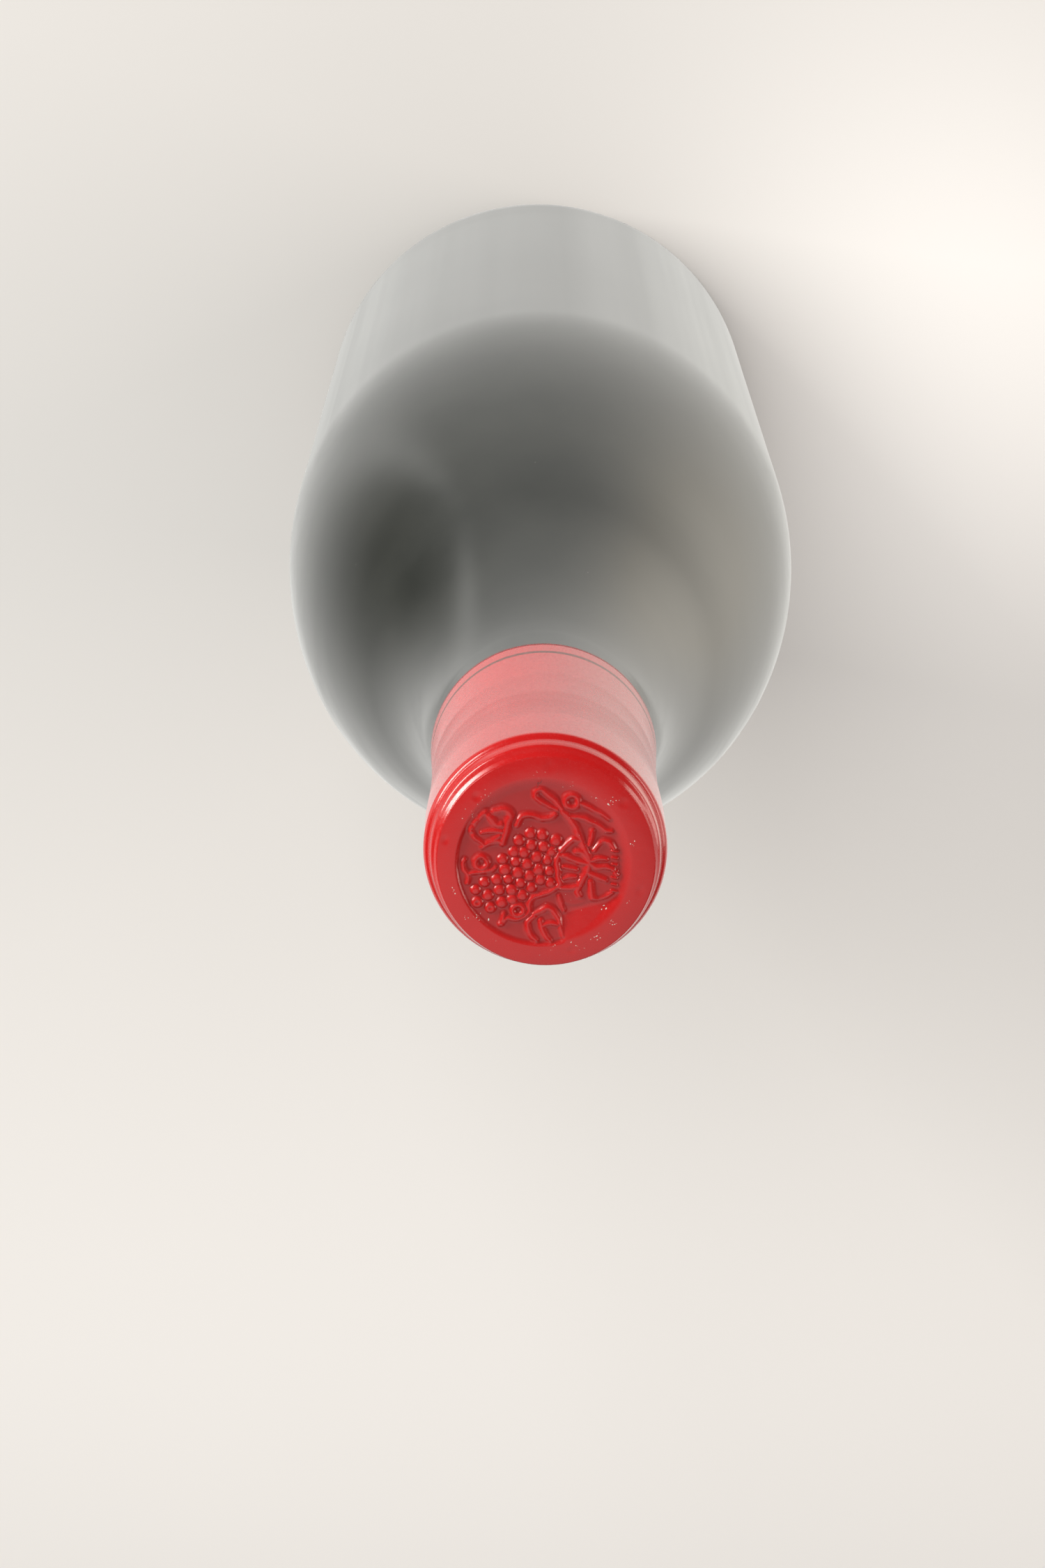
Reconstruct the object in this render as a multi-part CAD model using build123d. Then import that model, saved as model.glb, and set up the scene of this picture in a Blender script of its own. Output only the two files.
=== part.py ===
from build123d import *
from math import atan2, cos, degrees, hypot, radians, sin, sqrt, tan
import os
import random

# A full, shut wine bottle standing upright. Millimetres, +Z up, origin in the middle of the ring
# that the bottle stands on. Depths in the neck's finish are measured down from the glass's top.

# --- body ---
GLASS_HEIGHT = 295.65          # from the standing ring to the top of the glass
BODY_RADIUS = 40.8
BODY_STRAIGHT_TOP = 136.5      # where the straight wall ends and the shoulder begins
SHOULDER_RADIUS = 156.0        # the long convex curve of the shoulder
SWEEP_RADIUS = 110.0           # the hollow curve between shoulder and neck
HEEL_RADIUS = 9.0

# --- base ---
STANDING_RING_INSET = 12.0     # from the wall to the flat ring's inner corner
STANDING_RING_ROUND = 4.0
PUNT_DEPTH = 24.0
PUNT_CROWN_RADIUS = 10.0
PUNT_CROWN_ROUND = 16.0
ROUND_SHARE = 0.49             # most of a straight run that one rounded corner may take

# --- neck and finish, under the foil ---
NECK_RADIUS = 14.2             # waist of the neck
NECK_WAIST_DEPTH = 33.0
NECK_TAPER_DEGREES = 2.3       # below the waist the neck widens towards the shoulder
RING_PROUD = 0.45              # the raised ring that the foil is rolled over
RING_TOP_DEPTH = 3.3
RING_CORNER_DEPTH = 11.7
RING_FOOT_DEPTH = 20.0
RING_FOOT_PROUD = 0.07
LIP_STEP = 0.8                 # how much narrower than the ring the lip above it is
LIP_DRAFT = 0.1
LIP_FOOT_DEPTH = 2.6
LIP_ROUND = 0.7
RING_ROUND = 0.95
STEP_ROUND = 0.4
SOFT_ROUND = 25.0

# --- foil ---
FOIL_WALL = 0.30
FOIL_GAP = 0.05                # between the glass and the foil
FOIL_LENGTH = 46.0             # from the foil's top to its lower edge

# --- pressed medallion in the foil's top ---
RIM_LAND = 1.70                # width of the flat land round the medallion, at its narrowest
MEDALLION_SHIFT = (-0.5, -0.8) # the press was off centre
MEDALLION_DEPTH = 0.55
MEDALLION_SLOPE = 0.50         # width of its sloping edge
CUT_CLEARANCE = 1.0            # how far a cutting solid stands out of what it cuts
RELIEF_DRAWN_RADIUS = 10.0     # medallion radius that the drawing below is made for
RELIEF_SINK = 0.15             # how far the relief runs into the foil's wall
RIDGE_WIDTH = 0.70
RIDGE_HEIGHT = 0.30
BERRY_RADIUS = 0.69
BERRY_HEIGHT = 0.42
BERRY_SCATTER = 0.05
BERRY_SEED = 11

# Rows of berries: first and last centre of each row, and how many.
BERRY_ROWS = [
    ((-2.0, 3.3), (1.4, 2.6), 3),
    ((-3.2, 2.2), (1.0, 1.0), 4),
    ((-3.9, 0.8), (0.4, -0.3), 4),
    ((-5.2, -0.1), (0.6, -1.7), 5),
    ((-4.9, -1.5), (0.6, -3.2), 5),
    ((-7.4, -2.9), (-1.6, -3.8), 5),
    ((-8.4, -4.3), (-2.9, -4.8), 5),
    ((-8.2, -6.0), (-4.2, -5.9), 4),
]

# Curled tendril ends: centre and middle radius.
CURLS = [((3.2, 7.2), 0.75), ((-7.7, -0.4), 0.72), ((-3.3, -7.3), 0.68)]

# Ridges of the vine: stems, tendrils, and the outlines and veins of three leaves.
RIDGES = {
    "loop": [(2.2, 6.2), (1.2, 7.5), (-0.4, 8.9), (-1.2, 8.3), (-0.9, 7.4), (1.0, 6.3)],
    "tendril": [(1.2, 5.5), (0.1, 5.0), (-1.8, 5.4), (-2.9, 5.3), (-3.5, 4.3)],
    "stem": [(2.2, 6.2), (3.3, 4.6), (4.5, 2.7), (5.2, 1.0), (5.4, -0.6)],
    "branch": [(3.3, 5.2), (4.9, 4.9), (6.6, 4.3), (8.2, 3.6)],
    "curl_branch": [(4.0, 7.0), (5.2, 6.7), (6.1, 5.9)],
    "spur": [(5.7, 3.3), (5.8, 2.5), (5.4, 1.7)],
    "left_leaf_right_lobe": [(-6.2, 6.2), (-5.2, 6.3), (-4.2, 5.9), (-4.0, 4.9), (-4.8, 3.4), (-5.1, 2.0)],
    "left_leaf_left_lobe": [(-5.7, 4.6), (-6.6, 5.1), (-7.4, 5.7), (-8.5, 4.8), (-9.1, 3.7)],
    "left_leaf_foot": [(-8.7, 3.1), (-7.9, 2.1), (-7.0, 1.4)],
    "left_leaf_vein": [(-7.8, 3.9), (-6.5, 3.7), (-5.4, 3.0)],
    "left_twig": [(-9.9, -0.5), (-9.6, -1.7), (-9.4, -3.1)],
    "left_stalk": [(-9.4, -1.9), (-8.0, -2.0), (-6.3, -1.4)],
    "right_leaf_finger": [(2.0, 0.4), (3.4, 1.0), (4.7, 0.6), (4.9, -0.4), (3.9, -0.6), (2.5, 0.0)],
    "right_leaf_edge": [(1.5, -0.5), (1.5, -1.6), (1.9, -2.9)],
    "right_leaf_teeth": [(1.9, 1.2), (2.9, 2.0), (3.9, 2.4)],
    "right_leaf_short_veins_a": [(2.4, -1.4), (3.5, -1.6)],
    "right_leaf_short_veins_b": [(2.4, -2.6), (3.6, -2.4)],
    "right_leaf_top": [(5.9, 1.0), (6.7, 2.0), (8.2, 1.9)],
    "right_leaf_vein": [(5.4, -0.6), (6.4, -1.4), (7.9, -1.4), (8.6, -2.0)],
    "right_leaf_rib": [(5.4, -0.6), (5.2, -1.7), (4.4, -3.0), (3.2, -3.9), (1.8, -3.9)],
    "right_leaf_lobe": [(5.5, -2.3), (5.6, -4.0), (6.1, -5.1), (7.4, -5.2), (8.4, -4.4)],
    "right_leaf_foot": [(1.7, -4.7), (2.1, -5.9), (2.6, -6.8)],
    "low_stem": [(1.4, -3.9), (0.2, -4.6), (-1.3, -5.0), (-2.0, -6.0), (-1.7, -7.0)],
    "low_leaf_left": [(-1.4, -7.9), (-2.0, -8.6), (-1.7, -9.5), (-1.0, -10.1)],
    "low_leaf_top": [(-1.0, -7.1), (0.4, -6.4), (1.6, -7.4), (2.2, -8.9)],
    "low_leaf_vein": [(-0.6, -7.9), (0.2, -9.2), (0.9, -10.2)],
    "low_twig": [(-5.1, -7.3), (-4.5, -8.3), (-2.5, -8.4)],
}
LEAF_TEETH = 6                 # short dashes along the right leaf's outer edge
LEAF_TEETH_FROM = (8.4, 1.3)
LEAF_TEETH_TO = (8.7, -3.8)
LEAF_TOOTH_LENGTH = 0.55
LEAF_TOOTH_WIDTH = 0.40


def arc_through(centre, radius, start_degrees, end_degrees):
    """An arc in the XZ plane, given by its centre and its two angles."""
    middle = (start_degrees + end_degrees) / 2
    points = []
    for angle in (start_degrees, middle, end_degrees):
        points.append((centre[0] + radius * cos(radians(angle)), 0, centre[1] + radius * sin(radians(angle))))
    return ThreePointArc(*points)


def shifted(corners, distance):
    """Move an open outline of straight runs sideways by a distance, towards its left-hand side."""
    runs = []
    for (r0, z0), (r1, z1) in zip(corners, corners[1:]):
        length = hypot(r1 - r0, z1 - z0)
        normal = (-(z1 - z0) / length, (r1 - r0) / length)
        runs.append((normal, normal[0] * r0 + normal[1] * z0 + distance))
    first, last = runs[0][0], runs[-1][0]
    result = [(corners[0][0] + first[0] * distance, corners[0][1] + first[1] * distance)]
    for (a, c), (b, d) in zip(runs, runs[1:]):
        det = a[0] * b[1] - a[1] * b[0]
        result.append(((c * b[1] - d * a[1]) / det, (a[0] * d - b[0] * c) / det))
    result.append((corners[-1][0] + last[0] * distance, corners[-1][1] + last[1] * distance))
    return result


def turned_rounds(corners, rounds, distance):
    """The corner radii after the shift: hollow corners shrink as round ones grow."""
    result = []
    for p, q, s, radius in zip(corners, corners[1:], corners[2:], rounds):
        turn = (q[0] - p[0]) * (s[1] - q[1]) - (q[1] - p[1]) * (s[0] - q[0])
        result.append(radius - distance if turn > 0 else radius + distance)
    return result


def in_plane(points):
    return [(r, 0, z) for r, z in points]


def limited_rounds(corners, rounds):
    """The corner radii, each kept small enough for the two runs that meet there."""
    result = []
    for p, q, s, radius in zip(corners, corners[1:], corners[2:], rounds):
        before = (q[0] - p[0], q[1] - p[1])
        after = (s[0] - q[0], s[1] - q[1])
        across = before[0] * after[1] - before[1] * after[0]
        along = before[0] * after[0] + before[1] * after[1]
        turn = abs(atan2(across, along))
        room = ROUND_SHARE * min(hypot(*before), hypot(*after))
        result.append(min(radius, room / tan(turn / 2)))
    return result


def rounded_outline(corners, rounds):
    """A line in the XZ plane through (radius, height) corners, with its corners rounded."""
    return FilletPolyline(in_plane(corners), radius=limited_rounds(corners, rounds))


# --- the neck's outline, from the middle of the top down to the shoulder ---
def neck_corners():
    top = GLASS_HEIGHT
    ring = NECK_RADIUS + RING_PROUD
    return [
        (0, top),
        (ring - LIP_STEP, top),
        (ring - LIP_STEP + LIP_DRAFT, top - LIP_FOOT_DEPTH),
        (ring, top - RING_TOP_DEPTH),
        (ring, top - RING_CORNER_DEPTH),
        (NECK_RADIUS + RING_FOOT_PROUD, top - RING_FOOT_DEPTH),
        (NECK_RADIUS, top - NECK_WAIST_DEPTH),
        neck_foot(),
    ]


NECK_ROUNDS = [LIP_ROUND, STEP_ROUND, RING_ROUND, SOFT_ROUND, SOFT_ROUND, SOFT_ROUND]


def sweep_centre():
    """Centre of the hollow curve that touches both the neck's taper and the shoulder's curve."""
    taper = radians(NECK_TAPER_DEGREES)
    down = (sin(taper), -cos(taper))
    out = (cos(taper), sin(taper))
    start = (NECK_RADIUS + out[0] * SWEEP_RADIUS, GLASS_HEIGHT - NECK_WAIST_DEPTH + out[1] * SWEEP_RADIUS)
    shoulder = (BODY_RADIUS - SHOULDER_RADIUS, BODY_STRAIGHT_TOP)
    away = (start[0] - shoulder[0], start[1] - shoulder[1])
    reach = SHOULDER_RADIUS + SWEEP_RADIUS
    half = away[0] * down[0] + away[1] * down[1]
    travel = -half - sqrt(half * half - away[0] ** 2 - away[1] ** 2 + reach * reach)
    return (start[0] + down[0] * travel, start[1] + down[1] * travel)


def neck_foot():
    """Where the neck's taper ends and the hollow curve begins."""
    taper = radians(NECK_TAPER_DEGREES)
    centre = sweep_centre()
    return (centre[0] - SWEEP_RADIUS * cos(taper), centre[1] - SWEEP_RADIUS * sin(taper))


def meet_degrees():
    """The angle above level at which the shoulder's curve meets the hollow one."""
    sweep = sweep_centre()
    return degrees(atan2(sweep[1] - BODY_STRAIGHT_TOP, sweep[0] - (BODY_RADIUS - SHOULDER_RADIUS)))


def hollow_curve(radius, start_degrees, end_degrees):
    """A stretch of the hollow curve, or of one alongside it with another radius."""
    return arc_through(sweep_centre(), radius, start_degrees, end_degrees)


def medallion_radius():
    """Radius of the medallion's floor: what the lip leaves inside its rounding and the land."""
    lip = NECK_RADIUS + RING_PROUD - LIP_STEP
    return lip - LIP_ROUND - RIM_LAND - MEDALLION_SLOPE - hypot(*MEDALLION_SHIFT)


def medallion_dish(top, grow):
    """What the press pushes down: a shallow dish below the level top, wider by grow."""
    radius = medallion_radius() + grow
    dish = make_face(Polyline(in_plane([
        (0, top + CUT_CLEARANCE),
        (radius + MEDALLION_SLOPE, top + CUT_CLEARANCE),
        (radius + MEDALLION_SLOPE, top),
        (radius, top - MEDALLION_DEPTH),
        (0, top - MEDALLION_DEPTH),
    ]), close=True))
    return Pos(*MEDALLION_SHIFT, 0) * revolve(dish, Axis.Z)


def outline_face(*runs):
    """The half outline in the XZ plane, closed along the axis."""
    outline = Curve() + list(runs)
    start = runs[0] @ 0
    end = runs[-1] @ 1
    return make_face(outline + Line(end, start))


# --- the glass ---
def make_bottle():
    shoulder = (BODY_RADIUS - SHOULDER_RADIUS, BODY_STRAIGHT_TOP)
    base_corners = [
        (0, PUNT_DEPTH),
        (PUNT_CROWN_RADIUS, PUNT_DEPTH),
        (BODY_RADIUS - STANDING_RING_INSET, 0),
        (BODY_RADIUS, 0),
        (BODY_RADIUS, BODY_STRAIGHT_TOP),
    ]
    base = rounded_outline(base_corners, [PUNT_CROWN_ROUND, STANDING_RING_ROUND, HEEL_RADIUS])
    convex = arc_through(shoulder, SHOULDER_RADIUS, 0, meet_degrees())
    hollow = hollow_curve(SWEEP_RADIUS, 180 + meet_degrees(), 180 + NECK_TAPER_DEGREES)
    neck = rounded_outline(neck_corners()[::-1], NECK_ROUNDS[::-1])
    glass = revolve(outline_face(base, convex, hollow, neck), Axis.Z)
    return glass - medallion_dish(GLASS_HEIGHT, FOIL_GAP + FOIL_WALL)


# --- the foil ---
def neck_block(distance):
    """The neck's outline moved outwards by a distance, as a solid down to the shoulder."""
    corners = shifted(neck_corners(), distance)
    rounds = turned_rounds(neck_corners(), NECK_ROUNDS, distance)
    neck = rounded_outline(corners, rounds)
    hollow = hollow_curve(SWEEP_RADIUS - distance, 180 + NECK_TAPER_DEGREES, 180 + meet_degrees())
    floor = Line(hollow @ 1, (0, 0, (hollow @ 1).Z))
    return revolve(outline_face(neck, hollow, floor), Axis.Z)


def make_foil():
    outer_top = GLASS_HEIGHT + FOIL_GAP + FOIL_WALL
    inner_top = GLASS_HEIGHT + FOIL_GAP
    outer = neck_block(FOIL_GAP + FOIL_WALL) - medallion_dish(outer_top, 0)
    inner = neck_block(FOIL_GAP) - medallion_dish(inner_top, FOIL_WALL)
    below = Pos(0, 0, outer_top - FOIL_LENGTH) * Cylinder(
        BODY_RADIUS, GLASS_HEIGHT, align=(Align.CENTER, Align.CENTER, Align.MAX))
    return outer - inner - below


# --- the pressed relief ---
def dome_height(crown, radius, out):
    """Height above the floor of a dome cut from a ball of radius crown, at a distance out from its middle."""
    return sqrt(crown ** 2 - out ** 2) - sqrt(crown ** 2 - radius ** 2)


def berries(size):
    """One flattened dome for each berry, in rows that drift a little."""
    drift = random.Random(BERRY_SEED)
    radius = BERRY_RADIUS * size
    crown = (radius ** 2 + BERRY_HEIGHT ** 2) / (2 * BERRY_HEIGHT)
    half_way = (radius / 2, 0, dome_height(crown, radius, radius / 2))
    side = make_face(
        Line((0, 0, -RELIEF_SINK), (0, 0, BERRY_HEIGHT))
        + ThreePointArc((0, 0, BERRY_HEIGHT), half_way, (radius, 0, 0))
        + Line((radius, 0, 0), (radius, 0, -RELIEF_SINK))
        + Line((radius, 0, -RELIEF_SINK), (0, 0, -RELIEF_SINK))
    )
    dome = revolve(side, Axis.Z)
    domes = []
    for (x0, y0), (x1, y1), count in BERRY_ROWS:
        for i in range(count):
            t = i / (count - 1)
            x = x0 + (x1 - x0) * t + drift.uniform(-BERRY_SCATTER, BERRY_SCATTER)
            y = y0 + (y1 - y0) * t + drift.uniform(-BERRY_SCATTER, BERRY_SCATTER)
            domes.append(Pos(x * size, y * size, 0) * dome)
    return domes


def ridge_plan(points, width, size):
    """The plan of one ridge: straight bands of even width with round joints and ends."""
    drawn = [(x * size, y * size) for x, y in points]
    band = width * size
    pieces = [Pos(x, y) * Circle(band / 2) for x, y in drawn]
    for (x0, y0), (x1, y1) in zip(drawn, drawn[1:]):
        run = Rectangle(hypot(x1 - x0, y1 - y0), band)
        turn = degrees(atan2(y1 - y0, x1 - x0))
        pieces.append(Pos((x0 + x1) / 2, (y0 + y1) / 2) * Rot(0, 0, turn) * run)
    return pieces


def curl_plan(centre, radius, size):
    ring = Circle((radius + RIDGE_WIDTH / 2) * size) - Circle((radius - RIDGE_WIDTH / 2) * size)
    return Pos(centre[0] * size, centre[1] * size) * ring


def leaf_teeth():
    """The middle line of each short dash along the right leaf's outer edge."""
    half = LEAF_TOOTH_LENGTH / 2
    lines = []
    for i in range(LEAF_TEETH):
        t = i / (LEAF_TEETH - 1)
        x = LEAF_TEETH_FROM[0] + (LEAF_TEETH_TO[0] - LEAF_TEETH_FROM[0]) * t
        y = LEAF_TEETH_FROM[1] + (LEAF_TEETH_TO[1] - LEAF_TEETH_FROM[1]) * t
        lines.append([(x - half, y), (x + half, y)])
    return lines


def ridges(size):
    pieces = []
    for points in RIDGES.values():
        pieces += ridge_plan(points, RIDGE_WIDTH, size)
    for centre, radius in CURLS:
        pieces.append(curl_plan(centre, radius, size))
    for points in leaf_teeth():
        pieces += ridge_plan(points, LEAF_TOOTH_WIDTH, size)
    plan = Sketch() + pieces
    return Pos(0, 0, -RELIEF_SINK) * extrude(plan, RELIEF_SINK + RIDGE_HEIGHT)


def make_relief():
    """Berries, stems and leaves, drawn about the foil's axis and made as large as the medallion."""
    size = medallion_radius() / RELIEF_DRAWN_RADIUS
    floor = GLASS_HEIGHT + FOIL_GAP + FOIL_WALL - MEDALLION_DEPTH
    return Pos(0, 0, floor) * (ridges(size) + berries(size))


os.makedirs("parts", exist_ok=True)
export_step(make_bottle(), "parts/bottle.step")
export_step(make_foil() + make_relief(), "parts/foil.step")
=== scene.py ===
import math
import random

import bpy
import numpy as np
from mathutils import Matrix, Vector


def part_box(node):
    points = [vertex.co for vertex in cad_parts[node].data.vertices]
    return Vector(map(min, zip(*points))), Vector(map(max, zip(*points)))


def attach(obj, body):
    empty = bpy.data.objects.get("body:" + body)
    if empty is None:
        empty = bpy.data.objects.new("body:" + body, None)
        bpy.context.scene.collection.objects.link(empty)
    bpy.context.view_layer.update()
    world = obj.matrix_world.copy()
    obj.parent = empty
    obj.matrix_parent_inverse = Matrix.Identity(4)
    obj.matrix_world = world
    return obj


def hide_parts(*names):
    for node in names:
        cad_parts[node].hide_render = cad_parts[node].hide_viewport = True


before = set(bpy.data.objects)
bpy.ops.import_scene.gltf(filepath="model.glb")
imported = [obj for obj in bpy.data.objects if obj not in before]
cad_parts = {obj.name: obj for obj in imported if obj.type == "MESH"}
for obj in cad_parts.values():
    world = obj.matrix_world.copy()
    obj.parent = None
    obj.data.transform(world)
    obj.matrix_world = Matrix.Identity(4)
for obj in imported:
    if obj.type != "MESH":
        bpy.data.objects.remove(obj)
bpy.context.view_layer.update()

# A full, shut wine bottle: dark glass, and a red lacquered foil with a vine pressed into its top.
# Shapes are worked out in millimetres about the bottle's axis and turned into metres as meshes are made.

MM = 0.001
TURN = 2 * math.pi

glass_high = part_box("bottle")[1] / MM
foil_low, foil_high = (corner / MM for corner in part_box("foil"))

# --- glass, in millimetres ---
BODY_RADIUS = glass_high.x
GLASS_TOP = glass_high.z
BODY_STRAIGHT_TOP = 136.5
SHOULDER_RADIUS = 156.0        # the long convex curve of the shoulder
SWEEP_RADIUS = 110.0           # the hollow curve between shoulder and neck
NECK_RADIUS = 14.2             # waist of the neck
NECK_WAIST_DEPTH = 33.0
NECK_TAPER = math.radians(2.3)
PUNT_DEPTH = 24.0
PUNT_CROWN_RADIUS = 10.0
STANDING_RING_INSET = 12.0     # from the wall to the standing ring's inner corner
BASE_CORNERS = [               # radius and height
    (0, PUNT_DEPTH),
    (PUNT_CROWN_RADIUS, PUNT_DEPTH),
    (BODY_RADIUS - STANDING_RING_INSET, 0),
    (BODY_RADIUS, 0),
    (BODY_RADIUS, BODY_STRAIGHT_TOP),
]
BASE_ROUNDS = [16.0, 4.0, 9.0]   # at the punt's crown, the standing ring and the heel
GLASS_HEAD = [                 # radius and depth below the glass's top, under the foil
    (NECK_RADIUS, NECK_WAIST_DEPTH),
    (NECK_RADIUS, 20),
    (13.4, 2),
    (12.6, 1),
    (0, 1.2),
]
GLASS_AROUND = 256
GLASS_STEP = 2.2               # length of a facet along the outline
GLASS_WAVE = 0.06              # slow unevenness of blown glass
WAVE_START = 20                # it grows from the base up to this height,
WAVE_END = 12                  # fades over this length below the foil,
WAVE_INSIDE = 15               # and leaves smaller radii alone

# --- foil, in millimetres; depths are below its top ---
FOIL_TOP = foil_high.z
FOIL_LENGTH = foil_high.z - foil_low.z
FOIL_FOOT_RADIUS = foil_high.x
FOIL_WALL = 0.30
CROWN_RADIUS = 13.30           # the crease where the top meets the rolled edge
CROWN_SINK = 0.07              # the top's highest ring is this far below the foil's highest level
LAND_FLAT = 10.2               # beyond this radius the top falls away towards the crease
LAND_FALL = 0.034              # how fast it falls, per millimetre squared
CREASE_DEPTH = CROWN_SINK + LAND_FALL * (CROWN_RADIUS - LAND_FLAT) ** 2
LIP_RADIUS = 14.95
SKIRT_CORNERS = [              # radius and depth of each corner, from the foot up to the crease
    (FOIL_FOOT_RADIUS, FOIL_LENGTH),
    (14.80, 40.0),
    (14.56, 33.0),
    (14.60, 24.0),
    (14.70, 20.0),
    (LIP_RADIUS, 12.2),
    (LIP_RADIUS, 3.15),
    (14.32, 2.74),
    (14.02, 1.22),
    (CROWN_RADIUS + 0.32, CREASE_DEPTH + 0.42),
    (CROWN_RADIUS + 0.03, CREASE_DEPTH + 0.015),
    (CROWN_RADIUS - 0.04, CREASE_DEPTH - 0.003),
]
SKIRT_ROUNDS = [30.0, 25.0, 20.0, 8.0, 5.0, 1.15, 0.22, 0.60, 0.25, 0.08]
EDGE_SHIFT = 0.55              # the crease lies off the axis by this much, towards EDGE_AZIMUTH
EDGE_AZIMUTH = math.radians(-85)
EDGE_SHIFT_FROM = 10.5         # the shift grows outwards from this radius to the crease
EDGE_SHIFT_TO = 14.15          # and is gone at this one
EDGE_SHIFT_DEPTH = 2           # in the skirt it stops at this depth
SKIRT_AROUND = 400
SKIRT_FINE_STEP = 0.14
SKIRT_FINE_DEPTH = 14          # below this depth only one in SKIRT_THIN of its rows is kept
SKIRT_THIN = 5
SKIRT_WALL_CORNERS = 7         # from the foot, this many corners have the wall behind them
SKIRT_INNER_EDGE = (13.7, 1.9)   # radius and depth of the wall's inner corner under the rolled edge
SKIRT_OUTER_RADIUS = 14.0      # waves and lines are only in the outside of the wall
SPUN_HEIGHT = 0.010            # height of the fine lines that spinning leaves round the lip
LIP_LINES = (2.2, 1.4)         # middle depth and spread of those lines
FAINT_LINES = (6.0, 3.0)       # and of the faint ones below
FAINT_SHARE = 0.08
SKIRT_WAVE = 0.004             # slow waves in the skirt,
SKIRT_WAVE_FROM = 14           # which start at this depth
SKIRT_WAVE_GROW = 8            # and grow over this length
SEAM_AZIMUTH = math.radians(107.5)   # from +X: where the foil overlaps itself
SEAM_STEP = 0.03
SEAM_FADE = 0.35               # the step dies away over this angle
SEAM_EDGE = 0.03               # and rises within this one

# --- pressed top ---
CROWN_AROUND = 640
CROWN_ROW = 0.105
CROWN_UNDER_ROWS = 12
PRESS_CENTRE = (-0.5, -0.75)
PRESS_RADIUS = 10.25
PRESS_DEPTH = 0.40
SHARP_WAY = (-0.75, -0.66, 0)  # the sunk floor's edge is sharp on this side
EDGE_SHARP = 0.30              # half width of that edge where it is sharp,
EDGE_SOFT = 0.85               # and where it is soft
RIDGE_RISE = 0.38
WANDER = 0.28                  # how far the cut lines wander, as a width of noise
WANDER_SCALE = 650.0           # bends to the metre
VIGOUR = (0.92, 1.12)          # how low and how high the ridges run, as shares of their rise
RIDGE_WIDEN = 1.60             # a ridge's foot, in half widths
RIDGE_CREST = -0.25            # it is full height here, past its middle line, so that its top stays round
RIDGE_STEP = 0.06              # length of a step along a ridge
BERRY_RADIUS = 0.84
BERRY_RISE = 0.47
BERRY_SPREAD = (0.90, 1.07)    # least and greatest size, as shares of the radius
BERRY_SEED = 11
BERRY_POWER = 1.05             # a larger power makes a more pointed berry
BLEND = 0.05                   # berries and ridges run together over this height
BLEND_TOP = 0.10               # the relief levels off below the land over this height
UNEVEN = 0.07                  # unevenness of the whole top
UNEVEN_SCALE = 260.0           # bumps to the metre
UNEVEN_EDGE = 1.2              # the unevenness dies away this close to the crease

# The bunch, row by row from the top: the middle of each berry.
BERRIES = [
    (-1.8, 3.1), (-0.4, 2.9), (1.3, 2.2),
    (-3.2, 2.2), (-1.7, 1.6), (-0.2, 1.4), (0.75, 0.8),
    (-3.8, 0.75), (-2.6, 0.65), (-1.0, 0.1), (0.25, -0.3),
    (-5.2, -0.2), (-3.6, -0.5), (-2.2, -0.8), (-0.8, -1.5), (0.5, -1.7),
    (-4.9, -1.5), (-3.3, -1.9), (-1.9, -2.3), (-0.6, -2.8), (0.6, -3.2),
    (-7.4, -3.1), (-5.9, -2.8), (-4.5, -2.7), (-3.0, -3.2), (-1.7, -3.8),
    (-8.5, -4.1), (-7.0, -4.8), (-5.6, -4.1), (-4.1, -4.1), (-2.8, -4.8),
    (-8.3, -5.7), (-6.7, -6.4), (-5.3, -5.7), (-4.0, -5.3),
]

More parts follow.
